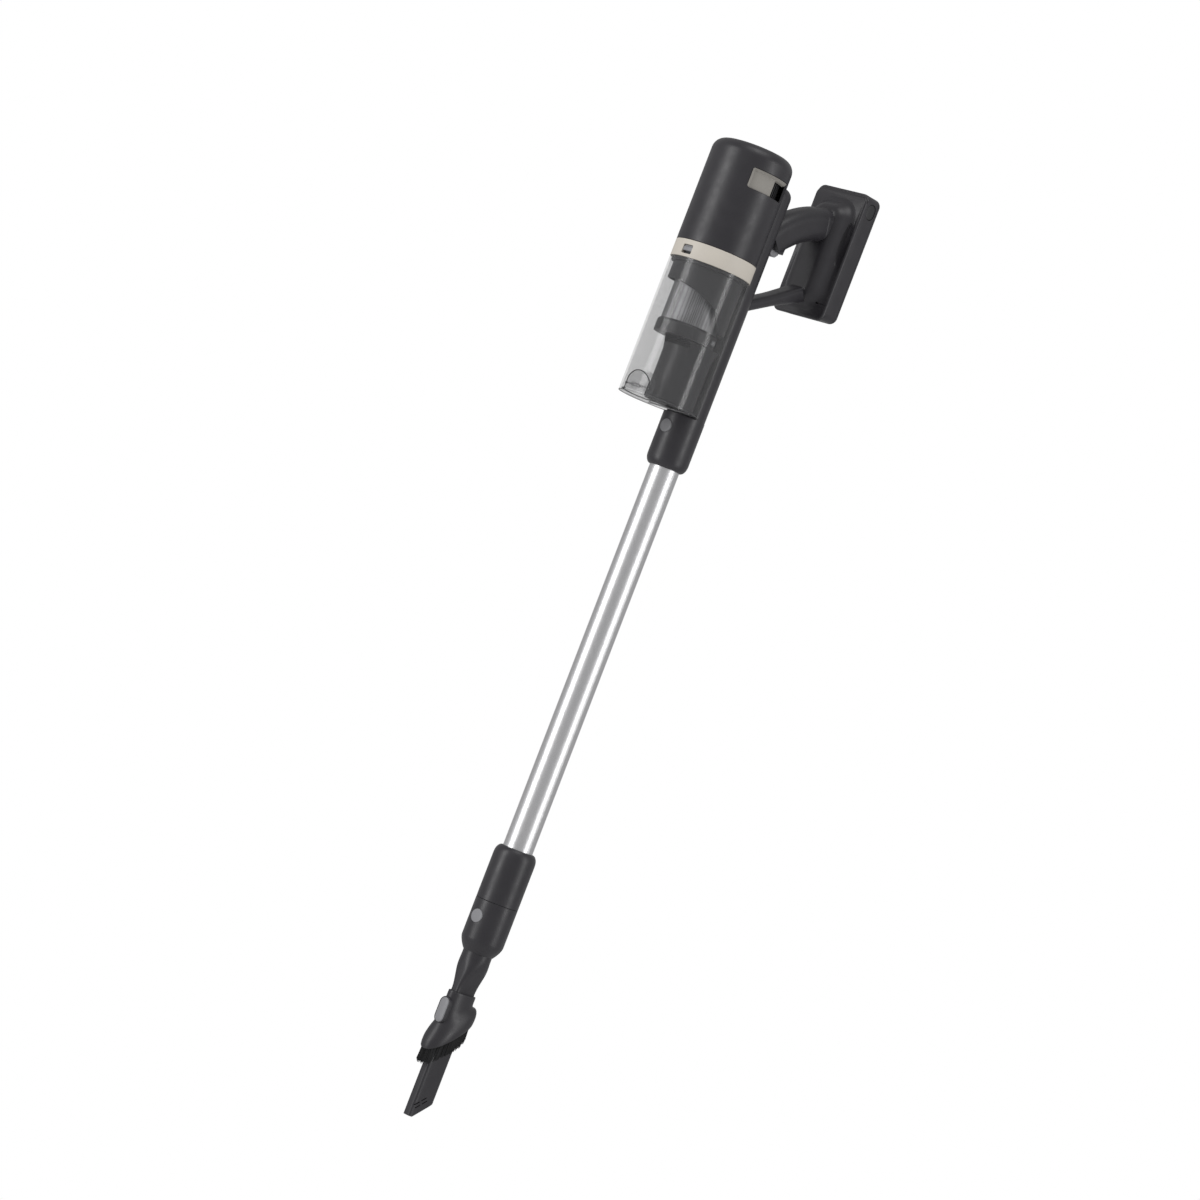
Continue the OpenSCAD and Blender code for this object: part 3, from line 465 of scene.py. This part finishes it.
LOOKS = {
    "charcoal": plastic("charcoal_plastic", CHARCOAL, 0.4, grain=0.15),
    "dark": plastic("dark_plastic", DARK, 0.5, mottle=0.15),
    "beige": plastic("beige_plastic", BEIGE, 0.5, grain=0.15, mottle=0.03),
    # the liner look is the beige with painted shade, not a colour of its own
    "liner": plastic("liner_beige_painted_shade", BEIGE_IN_SHADE, 0.6, grain=0.15, mottle=0.06),
    "grey": plastic("grey_plastic", GREY, 0.42, grain=0.2, mottle=0.05),
    "grey_dark": plastic("mid_grey_plastic", GREY_DARK, 0.42, grain=0.2, mottle=0.05),
    "shroud": plastic("shroud_plastic", (0.03, 0.029, 0.031), 0.38, grain=0.15),
    "clear_cup": clear_plastic("smoky_clear", (0.16, 0.16, 0.165), 0.2),
    # the near-black third value is painted shade in the screen's holes
    "mesh": perforated("screen_mesh", (0.42, 0.42, 0.43), (0.03, 0.03, 0.03), 1.5),
    "tube": blasted_metal("blasted_aluminium", (0.74, 0.74, 0.75), 0.34, 0.5, 1500.0, 0.16),
    "rubber": plastic("rubber", (0.018, 0.018, 0.018), 0.75, grain=0.35, mottle=0.2),
    "filter_paper": paper("filter_paper", (0.8, 0.79, 0.74)),
    "foam": paper("filter_foam", (0.62, 0.62, 0.6)),
    "cast_alloy": blasted_metal("cast_alloy", (0.5, 0.5, 0.51), 0.45, 0.6, 900.0, 0.12),
    "steel": smooth_metal("steel", (0.62, 0.62, 0.63), 0.24),
    "copper": smooth_metal("copper", (0.8, 0.42, 0.24), 0.28),
    "board": plastic("circuit_board", (0.03, 0.12, 0.055), 0.4, grain=0.1),
    "bristle": plastic("bristle_nylon", (0.012, 0.012, 0.013), 0.55, grain=0.05, mottle=0.3),
    "cell_wrap": plastic("cell_wrap", (0.12, 0.3, 0.16), 0.35, grain=0.05, mottle=0.05),
}


def dress_cad():
    """Every CAD node takes the node-based material of its slot."""
    for part in frame["record"]["subparts"]:
        mesh = frame["nodes"][part["node"]].data
        for i in range(len(mesh.materials)):
            mesh.materials[i] = LOOKS[part["material_slot"]]


dress_cad()


# ---------------------------------------------------------------- more mesh helpers

def fair(rows, steps):
    """Rows of values with smooth rows put between them (Catmull-Rom)."""
    out = []
    for i in range(len(rows) - 1):
        a, b, c, d = (rows[min(max(i + k, 0), len(rows) - 1)] for k in (-1, 0, 1, 2))
        for k in range(steps):
            t = k / steps
            out.append(tuple(
                0.5 * (2 * q + (r - p) * t + (2 * p - 5 * q + 4 * r - s) * t ** 2
                       + (3 * q - p - 3 * r + s) * t ** 3)
                for p, q, r, s in zip(a, b, c, d)))
    return out + [tuple(rows[-1])]


def combine(name, *objects):
    """One object out of several closed meshes, without uniting them."""
    work = bmesh.new()
    for obj in objects:
        work.from_mesh(obj.data)
        bpy.data.objects.remove(obj)
    mesh = bpy.data.meshes.new(name)
    work.to_mesh(mesh)
    work.free()
    made = bpy.data.objects.new(name, mesh)
    bpy.context.scene.collection.objects.link(made)
    return made


def pad_y(name, w, h, r, front, back, z, dome, x=0.0):
    """Button along Y with a gently domed face and a rounded rim."""
    rows = [(0, back), (0, front + dome + 0.7), (0.12, front + dome + 0.3), (0.45, front + dome),
            (1.4, front + 0.55 * dome), (3.0, front + 0.2 * dome), (5.0, front)]
    return loft(name, [[(x + px, y, z + pz) for px, pz in rrect(w - 2 * i, h - 2 * i, r - i)]
                       for i, y in rows])


def bead(name, points, radius, sides=8):
    """Round strip along a line of points."""
    rings = []
    spots = [Vector(p) for p in points]
    for i, spot in enumerate(spots):
        along = (spots[min(i + 1, len(spots) - 1)] - spots[max(i - 1, 0)]).normalized()
        across = along.cross(Vector((0, 1, 0))).normalized()
        up = across.cross(along)
        rings.append([spot + (across * math.cos(a) + up * math.sin(a)) * radius
                      for a in (2 * math.pi * k / sides for k in range(sides))])
    return loft(name, rings)


# ---------------------------------------------------------------- motor housing and its windows

WALL = 2.2
TOP_ROUND = 14.0
WINDOW_FROM, WINDOW_TO = 48.0, 120.0
WINDOW_LOW, WINDOW_HIGH = Z_HOUSE + 75.7, Z_HOUSE + 98.5
SHELF = WINDOW_LOW - 4
MOUTH_R = 28.0


def quarter(centre_r, centre_z, radius, steps=12):
    """Quarter arc of a profile, from its outermost to its highest point."""
    return [(centre_r + radius * math.cos(math.pi / 2 * k / steps),
             centre_z + radius * math.sin(math.pi / 2 * k / steps)) for k in range(steps + 1)]


def window_cutter(side):
    """Round-cornered window through the wall, a little wider at its outer rim."""
    half_w = math.radians(WINDOW_TO - WINDOW_FROM) * BODY_R / 2
    half_h = (WINDOW_HIGH - WINDOW_LOW) / 2
    corner = 3.6
    levels = ((BODY_R - 3.2, 0.0), (BODY_R - 0.8, 0.0), (BODY_R + 0.1, 0.7), (BODY_R + 2, 1.2))
    near = [1 - corner * (1 - math.cos(math.pi / 2 * k / 6)) / half_w for k in range(7)]
    between = [near[-1] * (1 - k / 14) for k in range(1, 28)]
    rings = []
    for share in near + between + [-s for s in reversed(near)]:
        low, high = [], []
        for r, grow in levels:
            reach = half_w + grow
            short = corner - min((1 - abs(share)) * reach, corner)
            tall = half_h + grow - corner + math.sqrt(corner ** 2 - short ** 2)
            angle = side * ((WINDOW_FROM + WINDOW_TO) / 2 + math.degrees(share * reach / BODY_R))
            middle = (WINDOW_LOW + WINDOW_HIGH) / 2
            low.append(on_axis(r, angle, middle - tall))
            high.append(on_axis(r, angle, middle + tall))
        rings.append(low + high[::-1])
    return loft("window", rings)


def make_housing():
    inner, base = BODY_R - WALL, Z_HOUSE + 0.2
    profile = ([(MOUTH_R, base), (BODY_R - 0.7, base), (BODY_R - 0.2, base + 0.2), (BODY_R, base + 0.7)]
               + quarter(BODY_R - TOP_ROUND, Z_TOP - TOP_ROUND, TOP_ROUND) + [(0, Z_TOP)]
               + [(0, Z_TOP - WALL)]
               + quarter(BODY_R - TOP_ROUND, Z_TOP - TOP_ROUND, TOP_ROUND - WALL)[::-1]
               + [(inner, SHELF), (MOUTH_R, SHELF), (MOUTH_R, SHELF - 2), (inner, SHELF - 2),
                  (inner, base + 3), (MOUTH_R, base + 3)])
    shell = turned("housing_shell", profile, steps=160)
    carve(shell, window_cutter(1), window_cutter(-1))
    wear(shell, LOOKS["charcoal"], "main_body", ["motor_housing"], sharp=40)


def make_liner():
    """Recessed beige wall with a sloped border along the window's top and front end, in a darker beige
    that is painted shade for the recess.
    """
    deep, proud, slope = BODY_R - 2.9, BODY_R - 0.5, 3.1
    top = WINDOW_HIGH - 0.15

    def face(angle, z):
        past = abs(angle) - WINDOW_FROM - 0.3
        if past < 0:
            return deep
        end = 1 - min(past / 3.2, 1)
        brow = 1 - min((top - z) / slope, 1)
        return deep + (proud - deep) * max(end, brow)

    rim = [s * a for s in (-1, 1) for a in (48.2, 48.31, 51.5)]
    angles = sorted([-89 + 2.0 * k for k in range(90)] + rim)
    levels = (SHELF, WINDOW_LOW, top - slope, top)
    rings = [[on_axis(deep - 1.4, a, SHELF)] + [on_axis(face(a, z), a, z) for z in levels]
             + [on_axis(deep - 1.4, a, top)] for a in angles]
    wall = loft("liner_wall", rings)
    roof = [(deep - 2.6, top - slope - 1.2), (deep, top - slope), (proud, top), (deep - 2.6, top)]
    roofs = [turned("liner_roof", roof, s * 89, s * (WINDOW_TO - 0.4), 24) for s in (-1, 1)]
    liner = combine("exhaust_lining", wall, *roofs)
    wear(liner, LOOKS["liner"], "main_body", ["exhaust_liner"], sharp=20)


# ---------------------------------------------------------------- handle, brace and dock

ARM_Y, ARM_Z, ARM_R = 128.2, Z_HOUSE - 43.7, 134.0
BRACE_FROM, BRACE_TO = (21.0, Z_RING - 18), (112.0, Z_HOUSE + 8.7)
PLATE_FRONT = 114.0
COLUMN_W = 46.0
COLUMN_LOW, COLUMN_HIGH = DOCK_LOW.z + 12, DOCK_LOW.z + 140
HOOK_Z = Z_HOUSE + 33.5


def make_arm_ring():
    """Raised band where the arm runs into the dock's column."""
    path = []
    for turn, grow in ((15.6, 0.93), (15.45, 0.995), (15.1, 1.012), (13.9, 1.012), (13.6, 0.98)):
        a = math.radians(turn)
        path.append((ARM_Y - ARM_R * math.sin(a), ARM_Z + ARM_R * math.cos(a), grow))
    band = sweep("arm_band", path, rrect(33, 39, 14, 10))
    wear(band, LOOKS["charcoal"], "main_body")


def make_trigger():
    outline = fillet([(27, HOOK_Z + 12, 2), (28, HOOK_Z - 5, 1.5), (33, HOOK_Z - 7.4, 3),
                      (38, HOOK_Z - 7.4, 4), (42.4, HOOK_Z - 3, 3), (42.4, HOOK_Z + 2.8, 0.6),
                      (36.5, HOOK_Z + 2.9, 0.6), (34, HOOK_Z + 14, 2)])
    lever = round_edges(prism_x("trigger_lever", outline, -6.5, 6.5), 0.9)
    wear(lever, LOOKS["grey"], "trigger", ["trigger"])


def make_brace():
    """Strut that grows taller towards the dock."""
    (y0, z0), (y1, z1) = BRACE_FROM, BRACE_TO
    along = Vector((y1 - y0, z1 - z0)).normalized()
    rings = []
    for k in range(25):
        t = k / 24
        tall = 13.2 + 6 * smooth((t - 0.35) / 0.6)
        y, z = y0 + (y1 - y0) * t, z0 + (z1 - z0) * t
        rings.append([(x, y - along.y * out, z + along.x * out)
                      for x, out in rrect(24, tall, 6.5, 8)])
    wear(loft("brace_strut", rings), LOOKS["charcoal"], "main_body", ["brace"])


def column():
    """Soft swell on the plate's front that carries the arm and the brace."""
    middle = (COLUMN_LOW + COLUMN_HIGH) / 2
    tall = COLUMN_HIGH - COLUMN_LOW + 10
    rows = [(0, 1.5), (0, 0.4), (1.5, -0.3), (3.5, -1.2), (6, -3), (8.5, -6), (11, -9.6),
            (13.5, -12.6), (16.5, -14.8), (19.5, -16), (22.5, -16.5)]
    return loft("column", [[(x, PLATE_FRONT + y, middle + z)
                            for x, z in rrect(COLUMN_W + 22 - 2 * i, tall - 2 * i, 26 - 0.9 * i, 10)]
                           for i, y in reversed(fair(rows, 3))])


def scoop(x, y, z, a, b, c):
    """Ellipsoid cutter."""
    rings = []
    for k in range(1, 16):
        w = math.pi * k / 16
        rings.append([(x + a * math.sin(w) * math.cos(v), y + b * math.sin(w) * math.sin(v),
                       z - c * math.cos(w)) for v in (2 * math.pi * i / 32 for i in range(32))])
    return loft("scoop", rings)


def make_dock():
    w, h = DOCK_HIGH.x - DOCK_LOW.x, DOCK_HIGH.z - DOCK_LOW.z
    middle = (DOCK_HIGH.z + DOCK_LOW.z) / 2
    soft = 2.8
    front = [(soft * (1 - math.sin(a)), PLATE_FRONT + soft * (1 - math.cos(a)))
             for a in (math.pi / 2 * k / 6 for k in range(7))]
    plate = loft("dock_slab", [[(x, y, middle + z) for x, z in rrect(w - 2 * i, h - 2 * i, 9 - i)]
                               for i, y in front + [(0, DOCK_HIGH.y)]])
    merge(plate, column())
    carve(plate, *(scoop(s * 31.5, PLATE_FRONT - 1.5, DOCK_LOW.z + 92, 7, 3, 27) for s in (-1, 1)))
    ledge = DOCK_LOW.z + 19
    carve(plate, *(prism_x("ledge", [(PLATE_FRONT - 2, ledge - 0.6), (PLATE_FRONT + 0.7, ledge - 0.6),
                                     (PLATE_FRONT + 0.7, ledge + 0.2), (PLATE_FRONT - 2, ledge + 1.4)],
                           s * 20, s * 41) for s in (-1, 1)))
    wear(plate, LOOKS["charcoal"], "main_body", ["dock_plate"], sharp=40)


# ---------------------------------------------------------------- battery

SEAT_GAP = 0.4
LATCH_TRAVEL = 2.6


def make_battery():
    w, h = CASE_HIGH.x - CASE_LOW.x, CASE_HIGH.z - CASE_LOW.z
    z = (CASE_HIGH.z + CASE_LOW.z) / 2
    low, high = span("battery_latch_right")
    tray = slab_y("battery_tray", w, h, 9, CASE_LOW.y, CASE_HIGH.y, z, 0.25)
    y, side_z = (low.y + high.y) / 2, (low.z + high.z) / 2
    for s in (-1, 1):
        ends = sorted((s * (min(abs(low.x), abs(high.x)) - LATCH_TRAVEL), s * (w / 2 + 2)))
        carve(tray, slab_x("latch_seat", high.y - low.y + SEAT_GAP, high.z - low.z + SEAT_GAP, 6.9,
                           *ends, y, side_z, 0.1))
    wear(tray, LOOKS["charcoal"], "battery", ["battery_case"], sharp=40)
    soft = 5
    rows = [(0, COVER_LOW.y)] + [(soft * (1 - math.cos(a)), COVER_HIGH.y - soft * (1 - math.sin(a)))
                                 for a in (math.pi / 2 * k / 8 for k in range(9))]
    back = loft("battery_back", [[(px, y, z + pz) for px, pz in rrect(w - 2 * i, h - 2 * i, 9 - i)]
                                 for i, y in rows])
    wear(back, LOOKS["charcoal"], "battery", ["battery_cover"], sharp=40)
    for s, name in ((-1, "battery_latch_left"), (1, "battery_latch_right")):
        a, b = span(name)
        pad = slab_x(name + "_pad", b.y - a.y, b.z - a.z, 6.7, a.x, b.x, y, side_z, 1.1)
        wear(pad, LOOKS["dark"], name, [name])


# ---------------------------------------------------------------- dust cup

FRONT_Y = BODY_Y - BODY_R


def make_ring():
    z0, z1, inner = RING_LOW.z, RING_HIGH.z, BODY_R - 5
    profile = [(inner, z0), (BODY_R - 0.5, z0), (BODY_R - 0.12, z0 + 0.15), (BODY_R, z0 + 0.5),
               (BODY_R, z1 - 0.5), (BODY_R - 0.12, z1 - 0.15), (BODY_R - 0.5, z1), (inner, z1)]
    ring = turned("beige_ring", profile, steps=160)
    z = Z_RING + 8.8
    carve(ring, tunnel_y("tab_window", 14, 10.5, 1.3, 0, z, FRONT_Y, FRONT_Y + 8, 0.3))
    wear(ring, LOOKS["beige"], "cup", ["cup_ring"], sharp=40)
    # Dark sheet behind the tab's window: painted shade over the light foam filter that would show through
    # the gap.
    dark = slab_y("tab_painted_shade", 13.7, 10.2, 1, TAB_HIGH.y + 0.02, TAB_HIGH.y + 0.25, z, 0.05)
    wear(dark, LOOKS["dark"], "cup")
    low, high, mid = TAB_LOW.z, TAB_HIGH.z, TAB_LOW.z + 4.6
    outline = [(TAB_HIGH.y, low), (TAB_LOW.y + 0.7, low), (TAB_LOW.y, low + 0.7), (TAB_LOW.y, mid),
               (TAB_LOW.y + 1.4, mid + 0.5), (TAB_LOW.y + 1.4, high), (TAB_HIGH.y, high)]
    tab = round_edges(prism_x("release_tab", outline, TAB_LOW.x, TAB_HIGH.x), 0.25)
    wear(tab, LOOKS["grey"], "cup_release", ["cup_release"])


def make_shroud():
    """Thin skirt whose lower edge winds down to the right."""
    outer, wall, top = 41.5, 2.0, Z_RING - 3.6
    rings = []
    for k in range(240):
        turn = k / 239
        angle = -180 + 359.5 * turn
        drop = 23 + 24 * ((angle + 180) / 261) ** 5 + 14 * smooth((angle - 76) / 24)
        drop = min(66, drop)
        rings.append([on_axis(r, angle, z) for r, z in (
            (outer - wall, top), (outer, top), (outer, Z_RING - drop + 0.3),
            (outer - 0.3, Z_RING - drop), (outer - wall, Z_RING - drop))])
    skirt = loft("skirt", rings)
    rim, low = BODY_R - 2.5, Z_RING - 4
    flange = turned("flange", [(33, low), (rim, low), (rim, Z_RING), (33, Z_RING)])
    wear(combine("cyclone_skirt", skirt, flange), LOOKS["shroud"], "cup",
         ["cyclone_shroud"], sharp=40)


def make_clip():
    z, turn = Z_RING - 77, 109
    profile = [(35.3, z - 2.2), (36.0, z - 2.4), (36.2, z), (36.0, z + 2.4), (35.3, z + 2.2)]
    clip = turned("clip", profile, turn - 7, turn + 7, 12)
    wear(clip, LOOKS["steel"], "cup")


def make_latch_shade_edge():
    """Dark strip round the clear arch of the lid's latch: painted shade for the dark line that refraction
    draws along the clear edge.
    """
    half, tall = 16.3, 25.8
    r = half * 1.15
    start = math.asin(half / r)
    spots = [(-half, 0.8), (-half, tall - r + r * math.cos(start) - 1)]
    spots += [(r * math.sin(a), tall - r + r * math.cos(a))
              for a in (start * (k / 10 - 1) for k in range(21))]
    spots += [(half, tall - r + r * math.cos(start) - 1), (half, 0.8)]
    line = [(x, BODY_Y - math.sqrt((BODY_R - 0.5) ** 2 - x * x), Z_CUP + z) for x, z in spots]
    wear(bead("latch_painted_shade_edge", line, 0.55), LOOKS["shroud"], "lid_latch")


# ---------------------------------------------------------------- buttons

def make_round_button(name, slot):
    low, high = span(name)
    r, z = (high.x - low.x) / 2, (high.z + low.z) / 2
    cap = pad_y("cap", 2 * r, 2 * r, r, low.y, low.y + 2.7, z, 0.3)
    stem = slab_y("stem", 2 * r - 7, 2 * r - 7, r - 3.5, low.y + 2.4, high.y, z, 0.1)
    wear(combine(name + "_cap", cap, stem), LOOKS[slot], name, [name])


# ---------------------------------------------------------------- coupling and pin caps

def make_coupling():
    """Lower coupling, whose shoulder rounds in softly to the tool's neck."""
    low, high = span("coupling_lower")
    r, bore, drop = (high.x - low.x) / 2, 17.35, 15.0
    shoulder = [(r - 7.2 * (1 - t) ** 1.6, low.z + drop * t) for t in (k / 12 for k in range(13))]
    profile = [(bore, low.z)] + shoulder + [(r, high.z - 0.4), (r - 0.4, high.z), (bore + 0.6, high.z)]
    shell = turned("coupling_shell", profile, y=0)
    button_low, button_high = span("tool_button")
    d = button_high.x - button_low.x + 0.5
    carve(shell, tunnel_y("button_hole", d, d, d / 2, 0, (button_low.z + button_high.z) / 2,
                          -r - 2, -r + 9))
    wear(shell, LOOKS["charcoal"], "wand", ["coupling_lower"], sharp=40)


def make_pin_caps():
    """Flush caps over the ends of the trigger's pin."""
    low, high = span("trigger_pin")
    y, z = (low.y + high.y) / 2, (low.z + high.z) / 2
    d = high.z - low.z + 0.2
    side = frame["nodes"]["handle_right"]
    found, spot, _, _ = side.ray_cast(Vector((60, y, z + 2.2)) * MM, Vector((-1, 0, 0)))
    x = spot.x / MM if found else 10.0
    caps = [slab_x("cap", d, d, d / 2, *sorted((s * (x - 1.2), s * x)), y, z, 0.05) for s in (-1, 1)]
    wear(combine("pin_caps", *caps), LOOKS["charcoal"], "main_body")


def make_lid_rim():
    """Fine dark line where the lid meets the clear cup."""
    z, r = Z_CUP + 0.4, BODY_R - 0.05
    rim = turned("lid_rim", [(r - 0.9, z), (r, z), (r, z + 0.6), (r - 0.9, z + 0.6)], 27, 333, 120)
    wear(rim, LOOKS["shroud"], "cup")


# ---------------------------------------------------------------- two-in-one tool

NOZZLE_W, NOZZLE_D, NECK_R = 12.0, 30.5, 17.0
TAPER_LOW, TAPER_HIGH = 149.5, 191.5
TIP_FLAT, TIP_RISE = 4.0, 20.0
SHAPE_POINTS = 64


def nozzle_rings(inset, low, high):
    rings = []
    taper = [TAPER_LOW + (TAPER_HIGH - TAPER_LOW) * k / 16 for k in range(17)]
    for z in [low, 60, 120] + taper + [high]:
        t = smooth((z - TAPER_LOW) / (TAPER_HIGH - TAPER_LOW))
        a = NOZZLE_W / 2 + (NECK_R - NOZZLE_W / 2) * t - inset
        b = NOZZLE_D / 2 + (NECK_R - NOZZLE_D / 2) * t - inset
        rings.append([(x, y, z) for x, y in super_oval(a, b, 6 - 4 * t, SHAPE_POINTS)])
    return rings


def make_nozzle():
    body = loft("crevice_nozzle", nozzle_rings(0, -2, NOZZLE_HIGH.z))
    carve(body, loft("bore", nozzle_rings(1.6, -4, NOZZLE_HIGH.z + 2)))
    slant = TIP_RISE / (NOZZLE_D - TIP_FLAT)
    half = NOZZLE_D / 2
    carve(body, prism_x("mouth", [(-half - 6, 0), (TIP_FLAT - half, 0),
                                  (half + 6, TIP_RISE + 6 * slant),
                                  (half + 6, -30), (-half - 6, -30)], -20, 20))
    turn = math.atan(slant)
    for row in (0, 1):
        for col in (0, 1):
            cut = []
            for v, w in rrect(8, 1.3, 0.6, 3):
                along, up = 13 + 10.5 * col + v, 6 + 4.2 * row + w
                cut.append((-half + along * math.cos(turn) - up * math.sin(turn),
                            along * math.sin(turn) + up * math.cos(turn)))
            carve(body, prism_x("slot", cut, -20, 20))
    wear(body, LOOKS["charcoal"], "tool", ["nozzle"], sharp=35)


FOOT_X, FOOT_Y, FOOT_SLOPE = 16.5, 28.0, 0.786
FOOT_Z = CARRIAGE_HIGH.z - 48.5
BUTTON_Z = CARRIAGE_HIGH.z - 23.5
BUTTON_FRONT = -23.4


def make_carriage():
    # height over the foot, half width, half depth, share of the foot's slant
    rows = [(0, 15.9, 27.4, 1), (0.5, 16.5, 28, 1), (5, 16.9, 28.4, 1), (11, 16.6, 28.1, 1),
            (17, 15.3, 26, 0.96), (23, 12.9, 22.4, 0.82), (29, 11, 20.2, 0.6), (36, 10.4, 19.6, 0.3),
            (42, 10.3, 19.6, 0.08), (47.8, 10.2, 19.5, 0), (48.5, 9.7, 19, 0)]
    rings = [[(x, y, FOOT_Z + FOOT_SLOPE * share * y + h) for x, y in super_oval(a, b, 2.3, 72)]
             for h, a, b, share in fair(rows, 4)]
    body = loft("brush_shell", rings)
    frame_rows = edge_rings(BUTTON_FRONT + 1.2, BUTTON_FRONT + 6.9, 0.9)
    merge(body, loft("button_frame", [[(x, y, BUTTON_Z + z) for x, z in
                                       rrect(16.4 - 2 * i, 31.4 - 2 * i, 8 - i)] for i, y in frame_rows]))
    channel = rrect(NOZZLE_W + 0.8, NOZZLE_D + 0.8, 3)
    carve(body, loft("channel", [[(x, y, z) for x, y in channel] for z in (60, 200)]))
    seat = rrect(13.6, 29.6, 6.7)
    carve(body, loft("seat", [[(x, y, BUTTON_Z + z) for x, z in seat]
                              for y in (BUTTON_FRONT - 6, BUTTON_FRONT + 5.7)]))
    wear(body, LOOKS["charcoal"], "brush", ["brush_carriage"], sharp=35)
    pad = pad_y("slide_pad", 13, 29, 6.4, BUTTON_FRONT, BUTTON_FRONT + 3.5, BUTTON_Z, 0.7)
    wear(pad, LOOKS["grey"], "brush_button", ["brush_button"])


STRANDS = 1500


def make_bristles():
    """Stiff strands in an oval band, splayed a little."""
    rng = random.Random(11)
    verts, faces = [], []
    for _ in range(STRANDS):
        w = rng.uniform(0, 2 * math.pi)
        spread_in = rng.uniform(0.72, 0.95)
        x, y = FOOT_X * spread_in * math.cos(w), FOOT_Y * spread_in * math.sin(w)
        if abs(x) < NOZZLE_W / 2 + 1 and abs(y) < NOZZLE_D / 2 + 1:
            continue
        top = FOOT_Z + FOOT_SLOPE * y + 1.5
        long = rng.uniform(17.2, 19.0) + 1.5
        lean_x = 0.5 * math.cos(w) + rng.uniform(-0.4, 0.4)
        lean_y = 0.4 * math.sin(w) + rng.uniform(-0.5, 0.5)
        r = rng.uniform(0.26, 0.38)
        start = len(verts)
        for step, (t, size) in enumerate(((0, 1), (0.6, 1), (1, 0.7))):
            cx, cy, cz = x + lean_x * t * t, y + lean_y * t * t, top - long * t
            verts += [(cx + r * size * math.cos(a), cy + r * size * math.sin(a), cz)
                      for a in (math.pi / 2 * k for k in range(4))]
        for j in (0, 4):
            faces += [tuple(start + j + i for i in (k, (k + 1) % 4, (k + 1) % 4 + 4, k + 4))
                      for k in range(4)]
        faces += [tuple(start + k for k in (3, 2, 1, 0)), tuple(start + 8 + k for k in range(4))]
    wear(build("bristle_strands", verts, faces), LOOKS["bristle"], "brush", ["bristles"])


make_housing()
make_liner()
make_arm_ring()
make_trigger()
make_brace()
make_dock()
make_battery()
make_ring()
make_shroud()
make_clip()
make_latch_shade_edge()
make_round_button("wand_button", "grey_dark")
make_round_button("tool_button", "grey")
make_coupling()
make_pin_caps()
make_lid_rim()
make_nozzle()
make_carriage()
make_bristles()


# ---------------------------------------------------------------- camera, light and stage

AZIMUTH, LEAN = math.radians(42.4), math.radians(21.08)
DISTANCE = 4.253
EYE_HEIGHT = 0.505
VIEW_HEIGHT = 1.3464
TARGET = Vector((-0.0108, -0.0098, 0.6137))


def set_camera():
    eye = Vector((TARGET.x + math.sin(AZIMUTH) * DISTANCE,
                  TARGET.y - math.cos(AZIMUTH) * DISTANCE, EYE_HEIGHT))
    back = (eye - TARGET).normalized()
    side = Vector((math.cos(AZIMUTH), math.sin(AZIMUTH), 0))
    up = back.cross(side)
    right = side * math.cos(LEAN) + up * math.sin(LEAN)
    over = up * math.cos(LEAN) - side * math.sin(LEAN)
    data = bpy.data.cameras.new("camera")
    data.angle = 2 * math.atan(VIEW_HEIGHT / 2 / DISTANCE)
    data.clip_end = 50
    camera = bpy.data.objects.new("camera", data)
    bpy.context.scene.collection.objects.link(camera)
    turn = Matrix((right, over, back)).transposed().to_4x4()
    camera.matrix_world = Matrix.Translation(eye) @ turn
    bpy.context.scene.camera = camera


def softbox(name, azimuth, height, distance, width, tall, watts):
    """Area light at an azimuth from the camera's own, aimed at the wand's upper half."""
    data = bpy.data.lights.new(name, "AREA")
    data.shape = "RECTANGLE"
    data.size, data.size_y = width, tall
    data.energy = watts
    lamp = bpy.data.objects.new(name, data)
    bpy.context.scene.collection.objects.link(lamp)
    a = AZIMUTH + math.radians(azimuth)
    aim = Vector((0, 0, 0.7))
    lamp.location = Vector((math.sin(a) * distance, -math.cos(a) * distance, height))
    lamp.rotation_euler = (aim - lamp.location).to_track_quat("-Z", "Y").to_euler()


def set_world(ambient):
    """White to the eye, dimmer as a light."""
    world = bpy.data.worlds.new("studio")
    world.use_nodes = True
    bpy.context.scene.world = world
    tree = world.node_tree
    shader = tree.nodes["Background"]
    paths = tree.nodes.new("ShaderNodeLightPath")
    strength = node(tree, "ShaderNodeMapRange")
    strength.inputs["To Min"].default_value = ambient
    strength.inputs["To Max"].default_value = 1.0
    tree.links.new(paths.outputs["Is Camera Ray"], strength.inputs["Value"])
    tree.links.new(strength.outputs["Result"], shader.inputs["Strength"])
    shader.inputs["Color"].default_value = (1, 1, 1, 1)


def set_stage():
    """A pale floor, far enough below for the machine to float as it does in a studio cut-out."""
    outline = super_oval(2200, 2200, 2, 96)
    floor = loft("floor", [[(x, y, z) for x, y in outline] for z in (-802, -800)])
    material, tree, shader = blank("floor_paint")
    shade = ramp(tree, noise(tree, place(tree), 3.0),
                 [(0.3, (0.78, 0.78, 0.78)), (0.7, (0.82, 0.82, 0.82))])
    tree.links.new(shade, shader.inputs["Base Color"])
    shader.inputs["Roughness"].default_value = 0.9
    floor.data.materials.append(material)


set_camera()
set_world(0.4)
set_stage()
softbox("key_left", -62, 0.9, 2.2, 0.7, 2.4, 26)
softbox("key_right", 62, 0.9, 2.2, 0.5, 2.4, 18)
softbox("top", 10, 3.0, 0.9, 1.2, 1.2, 12)
bpy.context.scene.view_settings.view_transform = "Standard"
